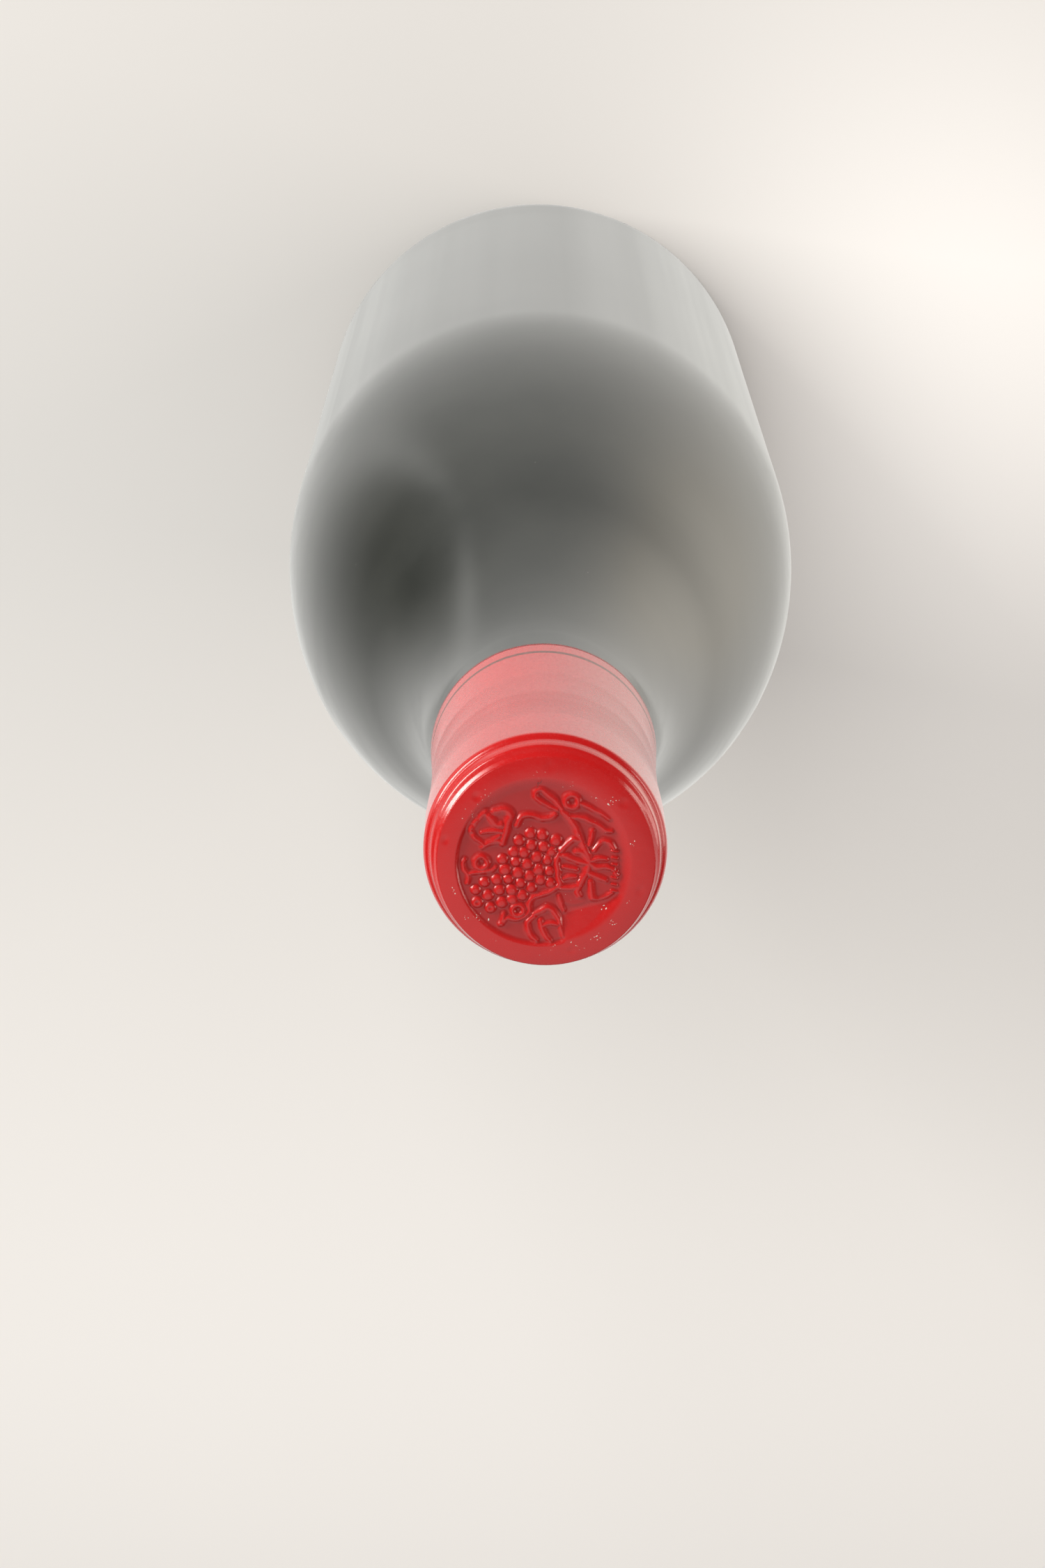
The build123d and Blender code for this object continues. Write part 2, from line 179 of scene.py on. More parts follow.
# Ridges of the vine: half width at start, middle and end, share of the full rise, and the middle line.
VINES = {
    "loop_over": ((0.44, 0.46, 0.42), 1.0, [(2.0, 6.3), (1.2, 7.3), (0.2, 8.1), (-0.6, 8.7), (-1.2, 8.4)]),
    "loop_under": ((0.42, 0.42, 0.40), 1.0, [
        (-1.2, 8.4), (-1.2, 7.7), (-0.5, 7.1), (0.5, 6.5), (1.4, 6.1),
    ]),
    "tendril": ((0.46, 0.42, 0.46), 1.1, [
        (1.1, 5.5), (0.6, 5.1), (-0.5, 5.05), (-1.5, 5.4), (-2.6, 5.4), (-3.1, 5.0), (-3.5, 4.2),
    ]),
    "stem": ((0.44, 0.50, 0.48), 1.0, [
        (2.0, 6.0), (2.8, 5.2), (3.5, 4.2), (4.0, 3.0), (4.4, 2.0), (4.9, 1.0), (5.4, -0.3),
    ]),
    "branch": ((0.42, 0.44, 0.36), 0.9, [
        (3.0, 5.2), (4.5, 5.1), (5.5, 4.6), (6.5, 4.1), (7.3, 3.5), (8.0, 3.4),
    ]),
    "curl_branch": ((0.44, 0.44, 0.34), 0.9, [(4.3, 6.9), (5.2, 6.5), (6.0, 6.0), (7.0, 5.5), (7.7, 4.9)]),
    "spur": ((0.36, 0.38, 0.36), 0.9, [(5.7, 3.4), (5.6, 2.6), (5.35, 1.6)]),
    "left_leaf_right_lobe": ((0.50, 0.58, 0.50), 1.1, [
        (-6.2, 6.0), (-5.3, 6.2), (-4.6, 6.05), (-4.2, 5.4), (-4.5, 4.5), (-4.7, 3.6), (-5.0, 2.6),
        (-5.2, 1.9),
    ]),
    "left_leaf_left_lobe": ((0.46, 0.52, 0.42), 1.0, [
        (-5.4, 4.2), (-5.9, 4.2), (-6.4, 4.8), (-6.8, 5.4), (-7.3, 5.8), (-8.0, 5.3), (-8.6, 4.6),
        (-9.1, 3.7),
    ]),
    "left_leaf_foot": ((0.40, 0.40, 0.36), 0.9, [(-9.1, 3.5), (-8.7, 2.7), (-8.0, 2.1), (-7.5, 1.7)]),
    "left_leaf_base": ((0.40, 0.46, 0.42), 0.9, [(-7.6, 1.4), (-6.8, 1.9), (-6.0, 2.2), (-5.4, 2.1)]),
    "left_leaf_vein": ((0.30, 0.40, 0.40), 0.9, [(-7.7, 3.3), (-6.9, 3.4), (-6.1, 3.4), (-5.3, 3.35)]),
    "left_leaf_knot": ((0.40, 0.40, 0.36), 0.9, [(-6.3, 2.3), (-5.9, 2.6), (-5.6, 2.9)]),
    "left_twig": ((0.32, 0.40, 0.36), 0.9, [
        (-9.8, -0.2), (-10.0, -0.6), (-9.9, -1.4), (-9.5, -2.0), (-9.4, -2.6), (-9.5, -3.2),
    ]),
    "left_stalk": ((0.34, 0.40, 0.38), 0.9, [
        (-9.2, -2.0), (-8.0, -1.8), (-7.2, -1.7), (-6.5, -1.5), (-6.1, -1.2),
    ]),
    "finger": ((0.42, 0.46, 0.40), 1.0, [(3.7, 0.85), (4.3, 0.8), (4.8, 0.4), (5.1, -0.1)]),
    "lower_finger": ((0.40, 0.44, 0.38), 0.9, [
        (1.7, 0.3), (2.5, 0.2), (3.4, -0.2), (4.3, -0.5), (5.1, -0.7),
    ]),
    "right_leaf_edge": ((0.42, 0.46, 0.42), 1.0, [
        (1.6, 0.4), (1.35, -0.5), (1.5, -1.4), (1.5, -2.4), (1.8, -3.2), (1.1, -4.0), (0.4, -4.4),
    ]),
    "right_leaf_shoulder": ((0.42, 0.44, 0.42), 1.0, [
        (2.0, 1.0), (2.45, 1.6), (2.95, 2.1), (3.5, 2.4), (4.1, 2.2),
    ]),
    "short_vein_a": ((0.30, 0.36, 0.30), 0.8, [(2.2, -1.1), (2.9, -1.3), (3.8, -1.5)]),
    "short_vein_b": ((0.30, 0.36, 0.30), 0.8, [(2.2, -2.6), (2.9, -2.4), (3.7, -2.4)]),
    "right_leaf_top": ((0.38, 0.42, 0.36), 0.9, [
        (5.9, 1.0), (6.4, 1.7), (6.9, 2.15), (7.4, 2.15), (8.0, 1.8), (8.4, 1.2),
    ]),
    "vein_a": ((0.40, 0.38, 0.30), 0.9, [(5.7, -0.3), (6.4, -0.1), (7.4, -0.2)]),
    "vein_b": ((0.46, 0.44, 0.34), 0.9, [(5.4, -0.7), (6.2, -1.2), (7.3, -1.2), (8.2, -1.5), (8.7, -2.2)]),
    "vein_c": ((0.44, 0.42, 0.34), 0.9, [(5.0, -1.7), (5.7, -2.1), (6.5, -2.5), (7.3, -2.9)]),
    "rib": ((0.46, 0.46, 0.40), 1.0, [
        (5.4, -0.5), (5.1, -1.5), (4.6, -2.5), (4.2, -3.4), (3.9, -4.2), (4.1, -4.8),
    ]),
    "right_leaf_lobe": ((0.42, 0.48, 0.42), 0.9, [
        (5.5, -3.0), (5.6, -4.2), (5.8, -5.1), (6.5, -5.5), (7.4, -5.1), (8.1, -4.5),
    ]),
    "leaf_joint": ((0.40, 0.44, 0.38), 0.9, [(1.4, -3.7), (2.5, -3.8), (3.3, -3.8), (4.0, -3.6)]),
    "leaf_foot_edge": ((0.34, 0.36, 0.30), 0.7, [(1.6, -4.9), (1.8, -5.6), (2.3, -6.8)]),
    "low_stem": ((0.44, 0.48, 0.46), 1.0, [
        (0.4, -4.4), (-1.1, -4.9), (-1.7, -5.3), (-2.0, -6.0), (-2.0, -6.8), (-2.4, -7.4),
    ]),
    "low_leaf_top": ((0.42, 0.48, 0.40), 1.0, [
        (-1.4, -7.1), (-0.6, -6.8), (0.2, -6.35), (0.9, -6.6), (1.4, -7.3), (1.8, -8.1), (2.0, -9.0),
        (2.2, -10.0),
    ]),
    "low_leaf_left": ((0.42, 0.46, 0.38), 1.0, [
        (-1.4, -7.4), (-2.1, -8.1), (-2.2, -8.8), (-1.9, -9.7), (-1.1, -10.6),
    ]),
    "low_leaf_vein": ((0.38, 0.38, 0.30), 0.9, [(-0.6, -8.0), (-0.3, -9.2), (0.1, -10.0), (0.6, -10.7)]),
    "low_leaf_rib": ((0.32, 0.34, 0.28), 0.9, [(-0.3, -8.7), (0.6, -8.4), (1.5, -8.6)]),
    "low_twig": ((0.38, 0.40, 0.38), 0.9, [(-5.3, -8.5), (-4.6, -7.7), (-3.4, -7.9), (-2.2, -7.3)]),
    "low_twig_fork": ((0.38, 0.40, 0.36), 0.9, [(-5.1, -7.2), (-5.2, -8.0), (-5.5, -8.5)]),
}

# Curled ends of tendrils: the middle, radius and half width of each.
CURLS = [((3.2, 7.2), 0.82, 0.46), ((-7.8, -0.6), 0.76, 0.44), ((-3.3, -6.7), 0.70, 0.42)]

LEAF_TEETH = 7                 # short dashes along the right leaf's outer edge
LEAF_TEETH_FROM = (8.5, 0.9)
LEAF_TEETH_TO = (8.4, -4.2)

# Leaf blades: low plates between the ridges.
LEAF_BLADES = [
    [
        (-6.4, 4.9), (-5.4, 6.1), (-4.5, 5.6), (-4.8, 3.6), (-5.3, 1.9), (-7.4, 1.8), (-8.9, 3.4),
        (-8.2, 4.9), (-7.2, 5.5),
    ],
    [
        (1.5, 0.4), (2.4, 1.5), (3.4, 2.2), (4.4, 1.0), (5.6, 0.4), (6.6, 1.7), (7.6, 1.9), (8.5, 0.8),
        (8.8, -2.2), (8.3, -4.4), (6.6, -5.4), (5.4, -5.7), (3.6, -5.9), (2.2, -5.6), (1.7, -3.4),
        (1.4, -1.4),
    ],
    [
        (-1.4, -7.3), (0.1, -6.5), (1.2, -7.3), (1.9, -9.2), (2.0, -10.0), (0.6, -10.6), (-1.1, -10.3),
        (-2.1, -8.8),
    ],
]
BLADE_RISE = 0.09
BLADE_EDGE = 0.5

# Where the press missed: the top keeps most of its level there, and slopes towards the bunch.
MISSED = [
    (2.7, -12.0), (2.5, -8.3), (3.0, -7.0), (4.4, -6.6), (5.6, -6.1), (7.3, -5.7), (8.9, -5.1),
    (10.9, -5.0), (9.9, -9.0), (6.0, -12.0),
]
MISSED_FROM = (5.6, -10.0)     # the slope starts here
MISSED_WAY = (-0.25, 0.97, 0)
MISSED_RUN = 3.6
MISSED_DROP = 0.50
MISSED_EDGE = 0.9              # width of the soft edge round the missed part

# Small dents: place, radius and depth.
LAND_DENTS = [
    ((-12.3, 2.3), 0.8, 0.10), ((-8.3, 7.8), 0.8, 0.08), ((-9.2, -9.6), 1.0, 0.08),
    ((-10.4, -8.2), 0.9, 0.05), ((11.6, -4.2), 0.9, 0.04), ((0.6, 11.6), 1.1, 0.04),
    ((9.4, 7.0), 0.9, 0.05), ((3.2, -11.9), 0.7, 0.05),
]
LEAF_NOTCHES = [
    ((-7.0, 5.7), 0.40, 0.12), ((-8.2, 5.1), 0.40, 0.12),
    ((-8.8, 4.2), 0.38, 0.12), ((-8.9, 3.1), 0.35, 0.10),
]
BERRY_DIMPLES = [((-8.3, -5.7), 0.45, 0.16), ((-6.7, -6.4), 0.40, 0.13)]
TWIG_DIMPLE = ((-5.2, -8.2), 0.40, 0.08)
DENTS = LAND_DENTS + LEAF_NOTCHES + BERRY_DIMPLES + [TWIG_DIMPLE]

# Pale chips in the lacquer of the top: middle of a group, its spread, how many, and their size.
# The last group is strewn over the whole top.
CHIPS = [
    ((8.0, 7.1), 0.7, 14, 0.11), ((10.6, 2.0), 0.4, 5, 0.12), ((-7.2, 8.2), 0.8, 8, 0.09),
    ((-9.0, 5.4), 0.8, 8, 0.07), ((-11.1, -4.0), 0.4, 6, 0.10), ((-8.4, -7.6), 0.5, 8, 0.12),
    ((-7.0, -8.0), 0.15, 3, 0.22), ((-9.8, -7.6), 0.3, 4, 0.10), ((-8.6, -10.0), 0.3, 3, 0.08),
    ((-6.6, -10.4), 0.3, 4, 0.08), ((7.1, -6.3), 0.3, 5, 0.13), ((9.9, -5.4), 0.5, 4, 0.09),
    ((8.1, -8.3), 0.6, 10, 0.10), ((6.3, -10.0), 0.6, 9, 0.10), ((4.1, -10.9), 0.6, 5, 0.09),
    ((0.5, -12.0), 0.8, 6, 0.08), ((3.1, 8.9), 0.5, 4, 0.08), ((-1.0, 11.0), 0.8, 4, 0.07),
    ((6.1, 7.5), 0.4, 4, 0.08), ((3.0, 5.2), 0.1, 1, 0.12), ((4.0, 2.9), 0.1, 1, 0.10),
    ((-1.9, 3.9), 0.1, 1, 0.08), ((-7.6, -5.5), 0.1, 1, 0.09), ((0, 0), 6.0, 40, 0.045),
]
CHIP_THICK = 0.30              # a chip's thickness, as a share of its width
CHIP_SPREAD = (0.5, 1.3)       # least and greatest size of a chip, as shares of its group's
CHIP_MARGIN = 0.5              # no chip lies closer to the crease than this
CHIP_SEED = 7
CHIP_FLAKE_SEED = 21

# A short fibre that lies on the top.
FIBRE = [(-1.1, 8.9), (-0.9, 9.25), (-0.95, 9.6), (-0.65, 9.55), (-0.5, 9.85)]
FIBRE_RADIUS = 0.022
FIBRE_SIDES = 6

DUST_FROM = 150.0              # dust lies on the glass from this height
DUST_TO = 252.0                # to this one
DUST_DENSITY = 1500.0          # specks to the square metre
DUST_SIZE = 0.07
DUST_SEED = 5
DUST_FLAKE_SEED = 31


# ---------- outlines and skins ----------
def along(start, end, step):
    """Points from start towards end, without the end itself."""
    count = max(1, math.ceil(math.dist(start, end) / step))
    return [tuple(Vector(start).lerp(Vector(end), i / count)) for i in range(count)]


def arc(centre, start, end, step):
    """Points on the short arc from start to end, without the end itself."""
    radius = math.dist(centre, start)
    first = math.atan2(start[1] - centre[1], start[0] - centre[0])
    last = math.atan2(end[1] - centre[1], end[0] - centre[0])
    sweep = (last - first + math.pi) % TURN - math.pi
    count = max(2, math.ceil(abs(sweep) * radius / step))
    angles = [first + sweep * i / count for i in range(count)]
    return [(centre[0] + radius * math.cos(a), centre[1] + radius * math.sin(a)) for a in angles]


def rounded(corners, rounds, step):
    """Points along straight runs through the corners, with each inner corner rounded."""
    points = []
    start = corners[0]
    for before, corner, after, radius in zip(corners, corners[1:], corners[2:], rounds):
        corner = Vector(corner)
        back = (Vector(before) - corner).normalized()
        ahead = (Vector(after) - corner).normalized()
        half = back.angle(ahead) / 2
        reach = radius / math.tan(half)
        enter = tuple(corner + back * reach)
        leave = tuple(corner + ahead * reach)
        centre = tuple(corner + (back + ahead).normalized() * (radius / math.sin(half)))
        points += along(start, enter, step) + arc(centre, enter, leave, min(step, radius * 0.35))
        start = leave
    return points + along(start, corners[-1], step) + [corners[-1]]


def grid_faces(rows, around, closed):
    """Quads between neighbouring rows of a turned skin."""
    low = np.arange(rows if closed else rows - 1)[:, None] * around
    high = (low + around) % (rows * around)
    this = np.arange(around)[None, :]
    following = (this + 1) % around
    quads = np.stack([low + this, low + following, high + following, high + this], -1)
    return quads.reshape(-1, 4).tolist()


def make_object(name, points, faces):
    """A smooth mesh object from points in millimetres."""
    mesh = bpy.data.meshes.new(name)
    mesh.from_pydata((np.asarray(points) * MM).tolist(), [], faces)
    mesh.shade_smooth()
    mesh.update()
    obj = bpy.data.objects.new(name, mesh)
    bpy.context.scene.collection.objects.link(obj)
    return obj


def turned(name, outline, around, shape=None):
    """The (radius, height) outline turned about the axis.

    It closes on itself, or at two poles where it starts and ends on the axis.
    """
    poles = outline[0][0] == 0
    rows = np.array(outline[1:-1] if poles else outline, float)
    angle = np.arange(around)[None, :] * TURN / around
    radius = np.repeat(rows[:, :1], around, 1)
    height = np.repeat(rows[:, 1:], around, 1)
    if shape:
        radius, height = shape(radius, height, angle)
    points = np.stack([radius * np.cos(angle), radius * np.sin(angle), height], -1).reshape(-1, 3)
    faces = grid_faces(len(rows), around, not poles)
    if poles:
        first, last = len(points), len(points) + 1
        points = np.vstack([points, [(0, 0, outline[0][1]), (0, 0, outline[-1][1])]])
        top = (len(rows) - 1) * around
        faces += [(first, (j + 1) % around, j) for j in range(around)]
        faces += [(last, top + j, top + (j + 1) % around) for j in range(around)]
    return make_object(name, points, faces)


# ---------- geometry node trees ----------
def new_tree(name, inputs):
    tree = bpy.data.node_groups.new(name, "GeometryNodeTree")
    tree.interface.new_socket("Geometry", in_out="OUTPUT", socket_type="NodeSocketGeometry")
    for label, kind in {"Geometry": "Geometry", **inputs}.items():
        tree.interface.new_socket(label, in_out="INPUT", socket_type="NodeSocket" + kind)
    return tree, tree.nodes.new("NodeGroupInput").outputs


def add(tree, kind, inputs=None, **settings):
    """A node with its settings made and its inputs linked or set, by name or by number."""
    node = tree.nodes.new(kind)
    for key, value in settings.items():
        setattr(node, key, value)
    for key, value in (inputs or {}).items():
        if isinstance(key, int):
            socket = node.inputs[key]
        else:
            socket = next(s for s in node.inputs if s.name == key and s.enabled)
        if isinstance(value, bpy.types.NodeSocket):
            tree.links.new(value, socket)
        else:
            socket.default_value = value
    return node


def out(node, name=None):
    """The node's first output in use, or the one with this name."""
    return next(s for s in node.outputs if s.enabled and name in (None, s.name))


def calc(tree, operation, *values):
    kind = "ShaderNodeMath"
    return add(tree, kind, dict(enumerate(values)), operation=operation).outputs[0]


def vector(tree, operation, *values, output=0):
    kind = "ShaderNodeVectorMath"
    return add(tree, kind, dict(enumerate(values)), operation=operation).outputs[output]


def remap(tree, value, low, high, to_low=0.0, to_high=1.0, smooth=False):
    """value taken from the range low to high into the range to_low to to_high, held at its ends."""
    inputs = {"Value": value, "From Min": low, "From Max": high, "To Min": to_low, "To Max": to_high}
    kind = "SMOOTHSTEP" if smooth else "LINEAR"
    return out(add(tree, "ShaderNodeMapRange", inputs, interpolation_type=kind))


def run_tree(obj, tree, values):
    """Runs the tree on obj with these named inputs; the result is a plain mesh object of the same name."""
    modifier = obj.modifiers.new(tree.name, "NODES")
    modifier.node_group = tree
    for item in tree.interface.items_tree:
        if item.in_out == "INPUT" and item.name in values:
            modifier[item.identifier] = values[item.name]
    depsgraph = bpy.context.evaluated_depsgraph_get()
    mesh = bpy.data.meshes.new_from_object(obj.evaluated_get(depsgraph))
    name = obj.name
    mesh.name = name
    obj.modifiers.remove(modifier)
    bpy.data.objects.remove(obj)
    made = bpy.data.objects.new(name, mesh)
    bpy.context.scene.collection.objects.link(made)
    return made


def helper_mesh(name, points, faces=(), **attributes):
    """A mesh that a tree reads or starts from: points in millimetres, and numbers for them by name."""
    mesh = bpy.data.meshes.new(name)
    mesh.from_pydata([(x * MM, y * MM, 0) for x, y in points], [], list(faces))
    for key, values in attributes.items():
        mesh.attributes.new(key, "FLOAT", "POINT").data.foreach_set("value", values)
    obj = bpy.data.objects.new(name, mesh)
    bpy.context.scene.collection.objects.link(obj)
    obj.hide_render = True
    return obj


# ---------- the glass ----------
def sweep_centre():
    """Centre of the hollow curve that touches both the neck's taper and the shoulder's curve."""
    down = Vector((math.sin(NECK_TAPER), -math.cos(NECK_TAPER)))
    outward = Vector((math.cos(NECK_TAPER), math.sin(NECK_TAPER)))
    start = Vector((NECK_RADIUS, GLASS_TOP - NECK_WAIST_DEPTH)) + outward * SWEEP_RADIUS
    away = start - Vector((BODY_RADIUS - SHOULDER_RADIUS, BODY_STRAIGHT_TOP))
    half = away.dot(down)
    reach = SHOULDER_RADIUS + SWEEP_RADIUS
    return start + down * (-half - math.sqrt(half * half - away.dot(away) + reach * reach))


def glass_outline():
    shoulder = Vector((BODY_RADIUS - SHOULDER_RADIUS, BODY_STRAIGHT_TOP))
    sweep = sweep_centre()
    meet = shoulder + (sweep - shoulder).normalized() * SHOULDER_RADIUS
    foot = (sweep.x - SWEEP_RADIUS * math.cos(NECK_TAPER), sweep.y - SWEEP_RADIUS * math.sin(NECK_TAPER))
    head = [(radius, GLASS_TOP - depth) for radius, depth in GLASS_HEAD]
    points = rounded(BASE_CORNERS, BASE_ROUNDS, GLASS_STEP)[:-1]
    points += arc(shoulder, (BODY_RADIUS, BODY_STRAIGHT_TOP), meet, GLASS_STEP)
    points += arc(sweep, meet, foot, GLASS_STEP / 2)
    points += along(foot, head[0], GLASS_STEP)
    for start, end in zip(head, head[1:]):
        points += along(start, end, GLASS_STEP)
    return points + [head[-1]]


def glass_waves(radius, height, angle):
    """Slow unevenness in the wall, none at the base or under the foil."""
    share = np.clip(height / WAVE_START, 0, 1) * np.clip((foil_low.z - height) / WAVE_END, 0, 1)
    share = share * (radius > WAVE_INSIDE)
    wave = np.sin(2 * angle + height / 31)
    wave = wave + 0.6 * np.sin(3 * angle - height / 17 + 1)
    wave = wave + 0.4 * np.sin(5 * angle + height / 11)
    return radius + share * GLASS_WAVE * (wave - 2) / 2, height + 0 * angle


# ---------- the foil's skirt and rolled edge ----------
def skirt_outline():
    corners = [(r, FOIL_TOP - s) for r, s in SKIRT_CORNERS]
    outside = rounded(corners, SKIRT_ROUNDS, SKIRT_FINE_STEP)
    kept = [p for i, p in enumerate(outside) if p[1] > FOIL_TOP - SKIRT_FINE_DEPTH or i % SKIRT_THIN == 0]
    inside = [(r - FOIL_WALL, z) for r, z in corners[:SKIRT_WALL_CORNERS]]
    inside.append((SKIRT_INNER_EDGE[0], FOIL_TOP - SKIRT_INNER_EDGE[1]))
    inside.append((SKIRT_CORNERS[-1][0], FOIL_TOP - CREASE_DEPTH - FOIL_WALL))
    return kept + inside[::-1]


def edge_shift(radius, angle):
    """How far the top and the rolled edge move outwards, so that the crease is off the axis."""
    grow = np.clip((radius - EDGE_SHIFT_FROM) / (CROWN_RADIUS - EDGE_SHIFT_FROM), 0, 1)
    fade = np.clip((EDGE_SHIFT_TO - radius) / (EDGE_SHIFT_TO - CROWN_RADIUS), 0, 1)
    return EDGE_SHIFT * (grow * fade) * np.cos(angle - EDGE_AZIMUTH)


def crown_shape(radius, height, angle):
    return radius + edge_shift(radius, angle), height + 0 * angle


def skirt_shape(radius, height, angle):
    """Fine spun lines round the lip, slow waves in the skirt, and the seam where the foil overlaps itself."""
    depth = FOIL_TOP - height
    outer = radius > SKIRT_OUTER_RADIUS
    lip = np.exp(-((depth - LIP_LINES[0]) / LIP_LINES[1]) ** 2)
    lip = lip + FAINT_SHARE * np.exp(-((depth - FAINT_LINES[0]) / FAINT_LINES[1]) ** 2)
    drift = 0.35 * np.sin(angle + 0.4) + 0.2 * np.sin(3 * angle)
    lines = np.sin(depth * 17 + drift)
    lines = lines + 0.7 * np.sin(depth * 29 - 2 * drift + 1)
    lines = lines + 0.5 * np.sin(depth * 43 + 3 * drift)
    wave = np.sin(3 * angle + depth / 6)
    wave = wave + 0.7 * np.sin(5 * angle - depth / 4 + 2)
    wave = wave + 0.5 * np.sin(9 * angle + depth / 2.5)
    skirt = np.clip((depth - SKIRT_WAVE_FROM) / SKIRT_WAVE_GROW, 0, 1)
    past = (angle - SEAM_AZIMUTH) % TURN
    seam = SEAM_STEP * np.exp(-past / SEAM_FADE) * np.clip(past / SEAM_EDGE, 0, 1)
    moved = outer * (SPUN_HEIGHT * lip * lines + skirt * (SKIRT_WAVE * wave + seam))
    moved = moved + (depth < EDGE_SHIFT_DEPTH) * edge_shift(radius, angle)
    return radius + moved, height + 0 * angle


# ---------- the pressed top ----------
def crown_level(radius):
    """Height of the top before it is pressed: level, then falling away towards the crease."""
    return FOIL_TOP - CROWN_SINK - LAND_FALL * max(radius - LAND_FLAT, 0) ** 2


def crown_outline():
    rows = math.ceil(CROWN_RADIUS / CROWN_ROW)
    upper = [CROWN_RADIUS * (rows - i) / rows for i in range(rows)] + [0]
    under = [CROWN_RADIUS * i / CROWN_UNDER_ROWS for i in range(CROWN_UNDER_ROWS + 1)]
    return [(r, crown_level(r) - FOIL_WALL) for r in under] + [(r, crown_level(r)) for r in upper]


def berry_guide():
    drift = random.Random(BERRY_SEED)
    sizes = [BERRY_RADIUS * drift.uniform(*BERRY_SPREAD) * MM for _ in BERRIES]
    return helper_mesh("berry_guide", BERRIES, size=sizes)


def dent_guide():
    places, sizes, depths = zip(*DENTS)
    return helper_mesh("dent_guide", places, size=[r * MM for r in sizes], deep=[d * MM for d in depths])


def vine_strokes():
    """Every ridge as (half widths, share of rise, points)."""
    yield from VINES.values()
    for (x, y), radius, half in CURLS:
        ring = [(x + radius * math.cos(a), y + radius * math.sin(a)) for a in np.linspace(0, TURN, 13)]
        yield (half, half, half), 1.1, ring
    for i in range(LEAF_TEETH):
        t = i / (LEAF_TEETH - 1)
        x = LEAF_TEETH_FROM[0] + (LEAF_TEETH_TO[0] - LEAF_TEETH_FROM[0]) * t
        y = LEAF_TEETH_FROM[1] + (LEAF_TEETH_TO[1] - LEAF_TEETH_FROM[1]) * t
        yield (0.17, 0.20, 0.17), 0.7, [(x - 0.35, y), (x + 0.3, y - 0.12)]


def vine_guide():
    """A curve with a spline for each ridge: a point's radius is the half width, and its tilt the rise."""
    curve = bpy.data.curves.new("vine_guide", "CURVE")
    curve.dimensions = "3D"
    for (start, middle, end), rise, points in vine_strokes():
        spline = curve.splines.new("POLY")
        spline.points.add(len(points) - 1)
        for i, (x, y) in enumerate(points):
            t = i / (len(points) - 1)
            half = start + (middle - start) * 2 * t if t < 0.5 else middle + (end - middle) * (2 * t - 1)
            spline.points[i].co = (x * MM, y * MM, 0, 1)
            spline.points[i].radius = half * MM
            spline.points[i].tilt = rise * RIDGE_RISE * MM
    obj = bpy.data.objects.new("vine_guide", curve)
    bpy.context.scene.collection.objects.link(obj)
    obj.hide_render = True
    return obj


def plate_guide(name, outlines):
    """Flat plates, one for each outline."""
    points, faces = [], []
    for outline in outlines:
        faces.append(list(range(len(points), len(points) + len(outline))))
        points += outline
    return helper_mesh(name, points, faces)


def nearest(tree, guide, flat, *names):
    """Distance from flat to the guide's nearest point, and that point's named numbers."""
    inputs = {"Geometry": guide, "Sample Position": flat}
    index = out(add(tree, "GeometryNodeSampleNearest", inputs, domain="POINT"))
    place = add(tree, "GeometryNodeInputPosition").outputs[0]
    inputs = {"Geometry": guide, "Value": place, "Index": index}
    centre = out(add(tree, "GeometryNodeSampleIndex", inputs, data_type="FLOAT_VECTOR", domain="POINT"))
    results = [vector(tree, "DISTANCE", flat, centre, output=1)]
    for name in names:
        inputs = {"Geometry": guide, "Value": named(tree, name), "Index": index}
        results.append(out(add(tree, "GeometryNodeSampleIndex", inputs, data_type="FLOAT", domain="POINT")))
    return results


def guide_of(tree, socket):
    return out(add(tree, "GeometryNodeObjectInfo", {"Object": socket}), "Geometry")


def plate_distance(tree, guide, flat):
    inputs = {"Geometry": guide, "Sample Position": flat}
    return out(add(tree, "GeometryNodeProximity", inputs, target_element="FACES"), "Distance")


def store(tree, geometry, name, value, kind="FLOAT"):
    """The geometry with a named number or vector kept on its points."""
    inputs = {"Geometry": geometry, "Name": name, "Value": value}
    return out(add(tree, "GeometryNodeStoreNamedAttribute", inputs, data_type=kind, domain="POINT"))


def named(tree, name, kind="FLOAT"):
    return out(add(tree, "GeometryNodeInputNamedAttribute", {"Name": name}, data_type=kind))


def height_of(tree, value):
    """The Z part of a vector."""
    return add(tree, "ShaderNodeSeparateXYZ", {0: value}).outputs[2]


